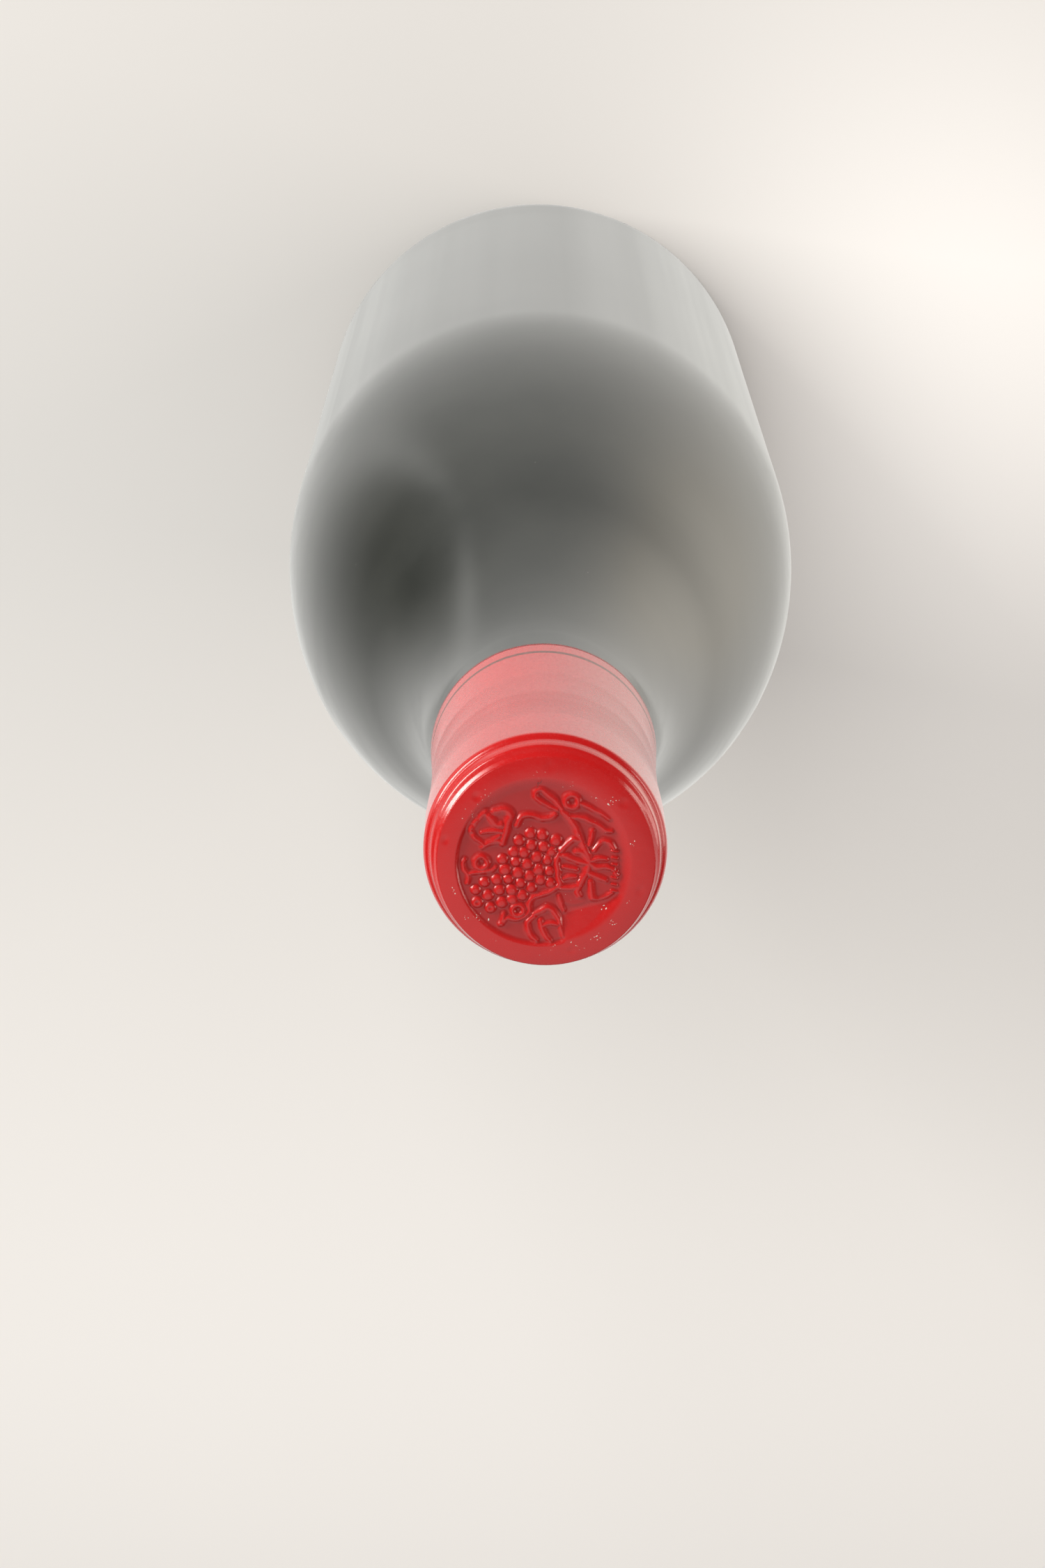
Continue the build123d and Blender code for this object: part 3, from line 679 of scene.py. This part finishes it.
def press_tree():
    """Presses berries, vine and leaves into a level top."""
    tree, given = new_tree("press", {
        "Berries": "Object", "Vine": "Object", "Blades": "Object", "Missed": "Object", "Dents": "Object",
        "Centre": "Vector", "Radius": "Float", "Depth": "Float", "Berry rise": "Float", "Blade rise": "Float",
        "Missed drop": "Float", "Material": "Material",
    })
    place = add(tree, "ShaderNodeSeparateXYZ", {0: add(tree, "GeometryNodeInputPosition").outputs[0]}).outputs
    flat = add(tree, "ShaderNodeCombineXYZ", {0: place[0], 1: place[1]}).outputs[0]

    # The sunk floor: its edge is sharp at the lower left and soft elsewhere.
    away = vector(tree, "SUBTRACT", flat, given["Centre"])
    distance = vector(tree, "LENGTH", away, output=1)
    side = vector(tree, "DOT_PRODUCT", vector(tree, "NORMALIZE", away), SHARP_WAY, output=1)
    soft = remap(tree, side, -0.3, 0.6, EDGE_SOFT * MM, EDGE_SHARP * MM, smooth=True)
    inner = calc(tree, "SUBTRACT", given["Radius"], soft)
    outer = calc(tree, "ADD", given["Radius"], soft)
    hollow = remap(tree, distance, outer, inner, smooth=True)
    missed = plate_distance(tree, guide_of(tree, given["Missed"]), flat)
    hit = remap(tree, missed, 0.0, MISSED_EDGE * MM, smooth=True)
    pressed = calc(tree, "MULTIPLY", hollow, hit)
    start = tuple(c * MM for c in (*MISSED_FROM, 0))
    along_slope = vector(tree, "DOT_PRODUCT", vector(tree, "SUBTRACT", flat, start), MISSED_WAY, output=1)
    slope = remap(tree, along_slope, 0.0, MISSED_RUN * MM, 0.0, given["Missed drop"])
    slope = calc(tree, "MULTIPLY", slope, calc(tree, "MULTIPLY", hollow, calc(tree, "SUBTRACT", 1.0, hit)))

    # The die was cut by hand: its lines wander a little, and rise and fall.
    noise = add(tree, "ShaderNodeTexNoise", {"Vector": flat, "Scale": WANDER_SCALE, "Detail": 1.0})
    wander = vector(tree, "SUBTRACT", out(noise, "Color"), (0.5, 0.5, 0.5))
    wander = vector(tree, "MULTIPLY", wander, (WANDER * MM, WANDER * MM, 0))
    cut = vector(tree, "ADD", flat, wander)
    vigour = remap(tree, out(noise), 0.35, 0.65, *VIGOUR)

    # Ridges of the vine.
    curve = guide_of(tree, given["Vine"])
    radius = add(tree, "GeometryNodeInputRadius").outputs[0]
    tilt = add(tree, "GeometryNodeInputCurveTilt").outputs[0]
    curve = store(tree, curve, "half", radius)
    curve = store(tree, curve, "rise", tilt)
    curve = out(add(tree, "GeometryNodeCurveSplineType", {"Curve": curve}, spline_type="CATMULL_ROM"))
    inputs = {"Curve": curve, "Length": RIDGE_STEP * MM}
    curve = out(add(tree, "GeometryNodeResampleCurve", inputs, mode="LENGTH"))
    lines = out(add(tree, "GeometryNodeCurveToMesh", {"Curve": curve}))
    gap, half, rise = nearest(tree, lines, cut, "half", "rise")
    foot = calc(tree, "MULTIPLY", half, RIDGE_WIDEN)
    crest = calc(tree, "MULTIPLY", half, RIDGE_CREST)
    ridge = remap(tree, gap, foot, crest, smooth=True)
    ridge = calc(tree, "MULTIPLY", ridge, calc(tree, "MULTIPLY", rise, vigour))

    # Berries: flattened domes.
    gap, size = nearest(tree, guide_of(tree, given["Berries"]), flat, "size")
    share = calc(tree, "DIVIDE", gap, size)
    dome = calc(tree, "MAXIMUM", calc(tree, "SUBTRACT", 1.0, calc(tree, "MULTIPLY", share, share)), 0.0)
    berry = calc(tree, "MULTIPLY", calc(tree, "POWER", dome, BERRY_POWER), given["Berry rise"])

    blade = plate_distance(tree, guide_of(tree, given["Blades"]), cut)
    blade = remap(tree, blade, BLADE_EDGE * MM, 0.0, 0.0, given["Blade rise"], smooth=True)

    raised = calc(tree, "SMOOTH_MAX", ridge, berry, BLEND * MM)
    raised = calc(tree, "ADD", raised, blade)
    raised = calc(tree, "SMOOTH_MIN", raised, given["Depth"], BLEND_TOP * MM)
    raised = calc(tree, "MULTIPLY", raised, pressed)

    # Dents and the hand-made unevenness of the top.
    gap, size, deep = nearest(tree, guide_of(tree, given["Dents"]), flat, "size", "deep")
    dent = calc(tree, "MULTIPLY", remap(tree, gap, size, 0.0, smooth=True), deep)
    inputs = {"Vector": flat, "Scale": UNEVEN_SCALE, "Detail": 3.0, "Roughness": 0.55}
    noise = add(tree, "ShaderNodeTexNoise", inputs)
    uneven = calc(tree, "MULTIPLY", calc(tree, "SUBTRACT", out(noise), 0.6), UNEVEN * MM)
    radius = vector(tree, "LENGTH", flat, output=1)
    edge = remap(tree, radius, CROWN_RADIUS * MM, (CROWN_RADIUS - UNEVEN_EDGE) * MM, smooth=True)
    uneven = calc(tree, "MULTIPLY", calc(tree, "SUBTRACT", uneven, dent), edge)

    sunk = calc(tree, "ADD", calc(tree, "MULTIPLY", pressed, given["Depth"]), slope)
    surface = calc(tree, "ADD", calc(tree, "SUBTRACT", raised, sunk), uneven)
    normal = add(tree, "GeometryNodeInputNormal").outputs[0]
    under = calc(tree, "LESS_THAN", height_of(tree, normal), 0.0)
    inputs = {"Factor": under, "A": surface, "B": calc(tree, "MULTIPLY", sunk, -1.0)}
    lift = add(tree, "ShaderNodeMix", inputs, data_type="FLOAT").outputs[0]
    offset = add(tree, "ShaderNodeCombineXYZ", {2: lift}).outputs[0]
    made = out(add(tree, "GeometryNodeSetPosition", {"Geometry": given["Geometry"], "Offset": offset}))
    made = store(tree, made, "raised", calc(tree, "DIVIDE", raised, MM))
    made = store(tree, made, "pressed", pressed)
    finish_tree(tree, made, given["Material"])
    return tree


def random_number(tree, low, high, seed):
    inputs = {"Min": low, "Max": high, "Seed": seed}
    return out(add(tree, "FunctionNodeRandomValue", inputs, data_type="FLOAT"))


def flakes_on(tree, points, size, normal, seed):
    """A small flat flake of 20 faces on each point, lying along normal, with an uneven size and turn."""
    flake = out(add(tree, "GeometryNodeMeshIcoSphere", {"Radius": 1.0, "Subdivisions": 1}), "Mesh")
    ratio = random_number(tree, 0.5, 1.4, seed)
    longer = random_number(tree, 0.6, 2.2, seed + 1)
    turn = random_number(tree, 0.0, TURN, seed + 2)
    width = calc(tree, "MULTIPLY", calc(tree, "MULTIPLY", size, ratio), 0.5)
    length = calc(tree, "MULTIPLY", width, longer)
    thick = calc(tree, "MULTIPLY", size, 0.5 * CHIP_THICK)
    scale = add(tree, "ShaderNodeCombineXYZ", {0: length, 1: width, 2: thick}).outputs[0]
    lying = add(tree, "FunctionNodeAlignRotationToVector", {"Vector": normal}, axis="Z").outputs[0]
    spin = add(tree, "FunctionNodeAxisAngleToRotation", {"Axis": (0, 0, 1), "Angle": turn}).outputs[0]
    facing = add(tree, "FunctionNodeRotateRotation", {0: lying, 1: spin}, rotation_space="LOCAL").outputs[0]
    inputs = {"Points": points, "Instance": flake, "Rotation": facing, "Scale": scale}
    return out(add(tree, "GeometryNodeInstanceOnPoints", inputs))


def chip_tree():
    """Drops the guide's points onto the surface and puts a flake on each."""
    tree, given = new_tree("chips", {"Surface": "Object", "Above": "Float", "Material": "Material"})
    above = add(tree, "ShaderNodeCombineXYZ", {2: given["Above"]}).outputs[0]
    lifted = out(add(tree, "GeometryNodeSetPosition", {"Geometry": given["Geometry"], "Offset": above}))
    surface = guide_of(tree, given["Surface"])
    ray = {"Target Geometry": surface, "Ray Direction": (0, 0, -1), "Ray Length": 1.0}
    hit = add(tree, "GeometryNodeRaycast", ray)
    lifted = store(tree, lifted, "facing", out(hit, "Hit Normal"), kind="FLOAT_VECTOR")
    placed = {"Geometry": lifted, "Selection": out(hit, "Is Hit"), "Position": out(hit, "Hit Position")}
    points = out(add(tree, "GeometryNodeSetPosition", placed))
    facing = named(tree, "facing", kind="FLOAT_VECTOR")
    flakes = flakes_on(tree, points, named(tree, "size"), facing, CHIP_FLAKE_SEED)
    finish_tree(tree, flakes, given["Material"])
    return tree


def dust_tree():
    """Specks scattered over the surface between two heights."""
    tree, given = new_tree("dust", {
        "Surface": "Object", "From": "Float", "To": "Float", "Density": "Float", "Size": "Float",
        "Seed": "Int", "Material": "Material",
    })
    height = height_of(tree, add(tree, "GeometryNodeInputPosition").outputs[0])
    above = calc(tree, "GREATER_THAN", height, given["From"])
    below = calc(tree, "LESS_THAN", height, given["To"])
    inputs = {
        "Mesh": guide_of(tree, given["Surface"]),
        "Selection": calc(tree, "MULTIPLY", above, below),
        "Density": given["Density"],
        "Seed": given["Seed"],
    }
    scattered = add(tree, "GeometryNodeDistributePointsOnFaces", inputs, distribute_method="RANDOM")
    points = out(scattered, "Points")
    flakes = flakes_on(tree, points, given["Size"], out(scattered, "Normal"), DUST_FLAKE_SEED)
    finish_tree(tree, flakes, given["Material"])
    return tree


def fibre_tree():
    """A thin tube along the guide's line."""
    tree, given = new_tree("fibre", {"Radius": "Float", "Lift": "Float", "Material": "Material"})
    curve = out(add(tree, "GeometryNodeMeshToCurve", {"Mesh": given["Geometry"]}))
    curve = out(add(tree, "GeometryNodeCurveSplineType", {"Curve": curve}, spline_type="CATMULL_ROM"))
    lift = add(tree, "ShaderNodeCombineXYZ", {2: given["Lift"]}).outputs[0]
    curve = out(add(tree, "GeometryNodeSetPosition", {"Geometry": curve, "Offset": lift}))
    inputs = {"Resolution": FIBRE_SIDES, "Radius": given["Radius"]}
    ring = out(add(tree, "GeometryNodeCurvePrimitiveCircle", inputs))
    inputs = {"Curve": curve, "Profile Curve": ring, "Fill Caps": True}
    made = out(add(tree, "GeometryNodeCurveToMesh", inputs))
    finish_tree(tree, made, given["Material"])
    return tree


def finish_tree(tree, made, material):
    """Ends a tree in Realize Instances and Set Material."""
    made = out(add(tree, "GeometryNodeRealizeInstances", {"Geometry": made}))
    made = out(add(tree, "GeometryNodeSetMaterial", {"Geometry": made, "Material": material}))
    tree.links.new(made, tree.nodes.new("NodeGroupOutput").inputs[0])


# ---------- materials ----------
def new_material(name):
    material = bpy.data.materials.new(name)
    material.use_nodes = True
    tree = material.node_tree
    return material, tree, tree.nodes["Principled BSDF"]


def set_inputs(shader, **values):
    for key, value in values.items():
        shader.inputs[key.replace("_", " ")].default_value = value


def noise_of(tree, scale, detail=3.0):
    """Noise on object coordinates; scale is in features to the metre."""
    coords = add(tree, "ShaderNodeTexCoord").outputs["Object"]
    inputs = {"Vector": coords, "Scale": scale, "Detail": detail, "Roughness": 0.5}
    return add(tree, "ShaderNodeTexNoise", inputs).outputs[0]


def mix_colour(tree, factor, a, b):
    node = add(tree, "ShaderNodeMix", {"Factor": factor}, data_type="RGBA")
    for socket, value in ((node.inputs[6], a), (node.inputs[7], b)):
        if isinstance(value, bpy.types.NodeSocket):
            tree.links.new(value, socket)
        else:
            socket.default_value = value
    return node.outputs[2]


LACQUER_RED = (0.52, 0.009, 0.009, 1)
LACQUER_DEEP = (0.49, 0.008, 0.008, 1)
LACQUER_SHADE_RED = (0.39, 0.008, 0.008, 1)   # painted shade: a darker red in the hollows of the pressed top
LINE_DARK = (0.17, 0.035, 0.025, 1)
LINE_DEPTH = 42.3              # the printed line's depth below the foil's top, in millimetres
LINE_HALF = 0.45               # and half its width
GLASS_GREEN = (0.019, 0.021, 0.018, 1)
GLASS_PALE = (0.027, 0.029, 0.025, 1)
STREAK_SQUASH = 0.15           # pattern of the glass's wiped streaks, squeezed so that they run round it
CHIP_PALE = (0.78, 0.72, 0.64, 1)
CHIP_GREY = (0.60, 0.52, 0.46, 1)
FIBRE_BROWN = (0.10, 0.05, 0.04, 1)
FIBRE_DARK = (0.06, 0.03, 0.03, 1)
DUST_PALE = (0.60, 0.58, 0.54, 1)
DUST_GREY = (0.42, 0.40, 0.38, 1)


def lacquer(name, banded, bumps, coat):
    """Red lacquer over thin metal: a clear coat of this roughness over an uneven colour.

    A banded one has a dull printed line near its foot. Any other has painted shade, a darker red, in the
    pressed hollows, and is a little rougher there.
    """
    material, tree, shader = new_material(name)
    set_inputs(shader, Metallic=0.0, IOR=1.5, Coat_Weight=0.35, Coat_Roughness=coat, Coat_IOR=1.5)
    cloud = remap(tree, noise_of(tree, 180, 4), 0.35, 0.7)
    colour = mix_colour(tree, cloud, LACQUER_RED, LACQUER_DEEP)
    grain = noise_of(tree, 2600, 2)
    rough = remap(tree, grain, 0.3, 0.7, 0.20, 0.30)
    if banded:
        height = height_of(tree, add(tree, "ShaderNodeTexCoord").outputs["Object"])
        line = calc(tree, "COMPARE", height, (FOIL_TOP - LINE_DEPTH) * MM, LINE_HALF * MM)
        colour = mix_colour(tree, line, colour, LINE_DARK)
        rough = calc(tree, "ADD", rough, calc(tree, "MULTIPLY", line, 0.2))
    else:
        # Painted shade: the pressed hollows, away from the raised parts, get a darker red; they are also a
        # little rougher.
        raised = add(tree, "ShaderNodeAttribute", attribute_name="raised").outputs["Fac"]
        pressed = add(tree, "ShaderNodeAttribute", attribute_name="pressed").outputs["Fac"]
        ground = calc(tree, "MULTIPLY", pressed, remap(tree, raised, 0.05, 0.30, 1.0, 0.0, smooth=True))
        colour = mix_colour(tree, ground, colour, LACQUER_SHADE_RED)
        rough = calc(tree, "ADD", rough, calc(tree, "MULTIPLY", ground, 0.12))
    tree.links.new(colour, shader.inputs["Base Color"])
    tree.links.new(rough, shader.inputs["Roughness"])
    bump = add(tree, "ShaderNodeBump", {"Strength": bumps, "Distance": 0.02 * MM, "Height": grain})
    tree.links.new(bump.outputs[0], shader.inputs["Normal"])
    return material


def dark_glass():
    """Dark green glass full of red wine, with faint wiped streaks round the axis."""
    material, tree, shader = new_material("dark_glass")
    set_inputs(shader, Metallic=0.0, IOR=1.52)
    coords = add(tree, "ShaderNodeTexCoord").outputs["Object"]
    place = add(tree, "ShaderNodeSeparateXYZ", {0: coords}).outputs
    flat = add(tree, "ShaderNodeCombineXYZ", {0: place[0], 1: place[1]}).outputs[0]
    radius = vector(tree, "LENGTH", flat, output=1)
    across = calc(tree, "MULTIPLY", place[0], STREAK_SQUASH)
    deep = calc(tree, "MULTIPLY", place[1], STREAK_SQUASH)
    ringed = add(tree, "ShaderNodeCombineXYZ", {0: across, 1: deep, 2: radius}).outputs[0]
    inputs = {"Vector": ringed, "Scale": 420.0, "Detail": 4.0, "Roughness": 0.6}
    streaks = add(tree, "ShaderNodeTexNoise", inputs).outputs[0]
    rough = remap(tree, streaks, 0.3, 0.75, 0.10, 0.20)
    tint = mix_colour(tree, remap(tree, noise_of(tree, 60), 0.35, 0.65), GLASS_GREEN, GLASS_PALE)
    tree.links.new(tint, shader.inputs["Base Color"])
    tree.links.new(rough, shader.inputs["Roughness"])
    return material


def plain(name, colour, other, roughness):
    """A dull material whose colour varies a little."""
    material, tree, shader = new_material(name)
    set_inputs(shader, Metallic=0.0, Roughness=roughness)
    cloud = remap(tree, noise_of(tree, 900), 0.35, 0.65)
    tree.links.new(mix_colour(tree, cloud, colour, other), shader.inputs["Base Color"])
    return material


# ---------- stage ----------
FLOOR_HALF = 3000               # half the floor's side, in millimetres
FLOOR_WHITE = (0.70, 0.685, 0.665, 1)
FLOOR_GLOW = 1.0                # how bright the floor looks in the gloss of glass and lacquer
FLOOR_FADE = (0.42, 0.65)       # its reflection falls to dark between these distances behind the bottle
FLOOR_FAR = 0.05                # and is this bright beyond them
GLOW_WHITE = (1.0, 0.995, 0.96, 1)
GLOW_WARM = (1.0, 0.94, 0.83, 1)
# Painted reflections: patches of the floor's glow, seen only in gloss and glass: middle and spread in metres,
# turn in degrees, and what they add.
WARM_REFLECTION_PATCH = ((0.30, 0.10), (0.13, 0.18), 0, 1.45)
DARK_REFLECTION_PATCH = ((-0.28, 0.10), (0.09, 0.14), 0, -0.85)
REFLECTED_STREAK = ((-0.165, 0.17), (0.09, 0.018), -71, 0.5)
DARK_REFLECTION_NEAR_RIGHT = ((0.13, -0.03), (0.06, 0.09), 0, -0.35)
# Painted light: patches where the floor's colour is paler, lifting its shadow beside the base and brightening
# it in front.
PAINTED_LIGHT_BESIDE = ((0.08, -0.005), (0.045, 0.055), 0, 1.0)
PAINTED_LIGHT_FRONT = ((0.02, -0.21), (0.30, 0.075), 0, 0.45)
PAINTED_LIGHT_WHITE = (1.0, 0.975, 0.95, 1)


def soft_patch(tree, coords, middle, spread, turn, amount):
    """amount at the middle of a turned patch of floor, falling softly to 0."""
    a = math.radians(turn)
    away = vector(tree, "SUBTRACT", coords, (*middle, 0))
    lengthways = (math.cos(a) / spread[0], math.sin(a) / spread[0], 0)
    sideways = (-math.sin(a) / spread[1], math.cos(a) / spread[1], 0)
    length = vector(tree, "DOT_PRODUCT", away, lengthways, output=1)
    width = vector(tree, "DOT_PRODUCT", away, sideways, output=1)
    square = calc(tree, "ADD", calc(tree, "MULTIPLY", length, length), calc(tree, "MULTIPLY", width, width))
    return calc(tree, "MULTIPLY", calc(tree, "EXPONENT", calc(tree, "MULTIPLY", square, -0.5)), amount)


def floor_material():
    """A pale table top with painted light: its colour is paler beside the base and in front. In reflections
    it is a painted glow: bright, warm on the right, dark on the left and far behind.
    """
    material, tree, shader = new_material("floor_pale")
    set_inputs(shader, Roughness=0.9, Specular_IOR_Level=0.1)
    mottle = remap(tree, noise_of(tree, 9, 3), 0.3, 0.7)
    coords = add(tree, "ShaderNodeTexCoord").outputs["Object"]
    white = mix_colour(tree, mottle, FLOOR_WHITE, [0.985 * c for c in FLOOR_WHITE])
    # Painted light: paler patches lift the floor's shadow beside the base and brighten it in front.
    white = mix_colour(tree, soft_patch(tree, coords, *PAINTED_LIGHT_BESIDE), white, PAINTED_LIGHT_WHITE)
    white = mix_colour(tree, soft_patch(tree, coords, *PAINTED_LIGHT_FRONT), white, PAINTED_LIGHT_WHITE)
    tree.links.new(white, shader.inputs["Base Color"])
    # Painted reflection: a glow that only glossy and transmission rays see, with warm, dark and streaked
    # patches, fading to dark far behind.
    back = add(tree, "ShaderNodeSeparateXYZ", {0: coords}).outputs[1]
    warm = soft_patch(tree, coords, *WARM_REFLECTION_PATCH)
    level = calc(tree, "ADD", soft_patch(tree, coords, *DARK_REFLECTION_PATCH), FLOOR_GLOW)
    level = calc(tree, "ADD", level, soft_patch(tree, coords, *REFLECTED_STREAK))
    level = calc(tree, "ADD", level, soft_patch(tree, coords, *DARK_REFLECTION_NEAR_RIGHT))
    level = calc(tree, "MULTIPLY", level, remap(tree, back, *FLOOR_FADE, 1.0, FLOOR_FAR, smooth=True))
    level = calc(tree, "ADD", level, warm)
    colour = mix_colour(tree, calc(tree, "MINIMUM", warm, 1.0), GLOW_WHITE, GLOW_WARM)
    glow = add(tree, "ShaderNodeEmission", {"Color": colour, "Strength": level})
    paths = add(tree, "ShaderNodeLightPath").outputs
    seen = calc(tree, "MAXIMUM", paths["Is Glossy Ray"], paths["Is Transmission Ray"])
    mix = add(tree, "ShaderNodeMixShader", {0: seen, 1: shader.outputs[0], 2: glow.outputs[0]})
    tree.links.new(mix.outputs[0], tree.nodes["Material Output"].inputs["Surface"])
    return material


def make_floor():
    corners = [(x * FLOOR_HALF, y * FLOOR_HALF, 0) for x, y in ((-1, -1), (1, -1), (1, 1), (-1, 1))]
    floor = make_object("floor", corners, [(0, 1, 2, 3)])
    floor.data.materials.append(floor_material())


LAMP_TARGET = Vector((0, 0, 0.25))


def make_lamp(name, azimuth, elevation, distance, size, power, colour):
    """A soft oblong lamp that faces the bottle's neck; azimuth is counted from +X towards +Y."""
    light = bpy.data.lights.new(name, "AREA")
    light.shape = "RECTANGLE"
    light.size, light.size_y = size
    light.energy = power
    light.color = colour
    lamp = bpy.data.objects.new(name, light)
    a, e = math.radians(azimuth), math.radians(elevation)
    direction = Vector((math.cos(a) * math.cos(e), math.sin(a) * math.cos(e), math.sin(e)))
    lamp.location = LAMP_TARGET + direction * distance
    lamp.rotation_euler = direction.to_track_quat("Z", "Y").to_euler()
    bpy.context.scene.collection.objects.link(lamp)
    return lamp


SKY_WHITE = (1, 0.99, 0.97, 1)
SKY_HEART = (-0.15, -0.10, 0.98)    # the sky lights the scene mostly from this way
SKY_SPREAD = (0.0, 0.75)            # from dark to bright, as the cosine of the angle to the heart
SKY_BRIGHT = 0.60
SKY_DARK = 0.05
GLOSS_HEART = (-0.10, -0.75, 0.65)  # in glossy reflections its bright part is narrower
GLOSS_SPREAD = (0.55, 0.95)
GLOSS_BRIGHT = 0.85
GLOSS_DARK = 0.03


def sky_level(tree, way, heart, spread, dark, bright):
    facing = vector(tree, "DOT_PRODUCT", way, heart, output=1)
    return remap(tree, facing, *spread, dark, bright, smooth=True)


def make_world():
    """A soft sky, dark low down behind the bottle; the camera sees it as pale as the floor."""
    world = bpy.data.worlds.new("studio")
    world.use_nodes = True
    tree = world.node_tree
    background = tree.nodes["Background"]
    way = add(tree, "ShaderNodeTexCoord").outputs["Generated"]
    broad = sky_level(tree, way, SKY_HEART, SKY_SPREAD, SKY_DARK, SKY_BRIGHT)
    narrow = sky_level(tree, way, GLOSS_HEART, GLOSS_SPREAD, GLOSS_DARK, GLOSS_BRIGHT)
    paths = add(tree, "ShaderNodeLightPath").outputs
    glossy = {"Factor": paths["Is Glossy Ray"], "A": broad, "B": narrow}
    level = add(tree, "ShaderNodeMix", glossy, data_type="FLOAT").outputs[0]
    seen = paths["Is Camera Ray"]
    tree.links.new(mix_colour(tree, seen, SKY_WHITE, FLOOR_WHITE), background.inputs["Color"])
    inputs = {"Factor": seen, "A": level, "B": 1.0}
    strength = add(tree, "ShaderNodeMix", inputs, data_type="FLOAT").outputs[0]
    tree.links.new(strength, background.inputs["Strength"])
    bpy.context.scene.world = world


CAMERA_SENSOR = 36
CAMERA_LENS = 82.80
CAMERA_PLACE = (-0.00251, 0.13463, 0.71247)
CAMERA_TURN = (-0.29197, 0.00067, 0)   # it looks down, about 17 degrees off the bottle's axis


def make_camera():
    data = bpy.data.cameras.new("camera")
    data.sensor_width = CAMERA_SENSOR
    data.lens = CAMERA_LENS
    camera = bpy.data.objects.new("camera", data)
    camera.location = CAMERA_PLACE
    camera.rotation_euler = CAMERA_TURN
    bpy.context.scene.collection.objects.link(camera)
    bpy.context.scene.camera = camera


# ---------- the bottle put together ----------
def finish_piece(piece, node, material=None):
    if material:
        piece.data.materials.append(material)
    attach(piece, "root")
    if node:
        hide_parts(node)


def make_crown(material):
    crown = turned("foil_crown", crown_outline(), CROWN_AROUND, crown_shape)
    guides = {
        "Berries": berry_guide(),
        "Vine": vine_guide(),
        "Blades": plate_guide("blade_guide", LEAF_BLADES),
        "Missed": plate_guide("missed_guide", [MISSED]),
        "Dents": dent_guide(),
    }
    values = {
        "Centre": Vector((*PRESS_CENTRE, 0)) * MM,
        "Radius": PRESS_RADIUS * MM,
        "Depth": PRESS_DEPTH * MM,
        "Berry rise": BERRY_RISE * MM,
        "Blade rise": BLADE_RISE * MM,
        "Missed drop": MISSED_DROP * MM,
        "Material": material,
    }
    crown = run_tree(crown, press_tree(), {**guides, **values})
    for guide in guides.values():
        bpy.data.objects.remove(guide)
    return crown


def make_chips(crown, material):
    drift = random.Random(CHIP_SEED)
    places = []
    sizes = []
    for (x, y), spread, count, size in CHIPS:
        for _ in range(count):
            places.append((x + drift.gauss(0, spread) / 1.5, y + drift.gauss(0, spread) / 1.5))
            sizes.append(size * drift.uniform(*CHIP_SPREAD) * MM)
    kept = [i for i, place in enumerate(places) if math.hypot(*place) < CROWN_RADIUS - CHIP_MARGIN]
    chips = helper_mesh("foil_chips", [places[i] for i in kept], size=[sizes[i] for i in kept])
    values = {"Surface": crown, "Above": FOIL_TOP * MM, "Material": material}
    return run_tree(chips, chip_tree(), values)


def make_dust(glass, material):
    values = {
        "Surface": glass,
        "From": DUST_FROM * MM,
        "To": DUST_TO * MM,
        "Density": DUST_DENSITY,
        "Size": DUST_SIZE * MM,
        "Seed": DUST_SEED,
        "Material": material,
    }
    return run_tree(helper_mesh("glass_dust", [(0, 0)]), dust_tree(), values)


def make_fibre(material):
    mesh = bpy.data.meshes.new("foil_fibre")
    mesh.from_pydata([(x * MM, y * MM, 0) for x, y in FIBRE], [(i, i + 1) for i in range(len(FIBRE) - 1)], [])
    fibre = bpy.data.objects.new("foil_fibre", mesh)
    bpy.context.scene.collection.objects.link(fibre)
    values = {
        "Radius": FIBRE_RADIUS * MM,
        "Lift": (FOIL_TOP - CROWN_SINK + FIBRE_RADIUS) * MM,
        "Material": material,
    }
    return run_tree(fibre, fibre_tree(), values)


bpy.context.scene.view_settings.view_transform = "Standard"
make_camera()
make_world()
make_floor()
make_lamp("key_softbox", azimuth=150, elevation=14, distance=1.3,
          size=(0.90, 0.30), power=18, colour=(1.0, 0.97, 0.92))
make_lamp("warm_fill", azimuth=8, elevation=11, distance=1.1,
          size=(0.90, 0.35), power=5.0, colour=(1.0, 0.88, 0.80))
top_softbox = make_lamp("top_softbox", azimuth=112, elevation=58, distance=1.3,
                        size=(0.5, 0.5), power=5, colour=(1.0, 0.99, 0.97))
top_softbox.visible_glossy = False

glass = turned("glass_body", glass_outline(), GLASS_AROUND, glass_waves)
finish_piece(glass, "bottle", dark_glass())

skirt = turned("foil_skirt", skirt_outline(), SKIRT_AROUND, skirt_shape)
skirt_lacquer = lacquer("lacquer_skirt", banded=True, bumps=0.03, coat=0.11)
finish_piece(skirt, "foil", skirt_lacquer)

crown = make_crown(lacquer("lacquer_crown", banded=False, bumps=0.25, coat=0.18))
finish_piece(crown, None)

chips = make_chips(crown, plain("bare_metal", CHIP_PALE, CHIP_GREY, 0.5))
finish_piece(chips, None)

fibre = make_fibre(plain("fibre_dark", FIBRE_BROWN, FIBRE_DARK, 0.7))
finish_piece(fibre, None)

dust = make_dust(glass, plain("dust_pale", DUST_PALE, DUST_GREY, 0.9))
finish_piece(dust, None)
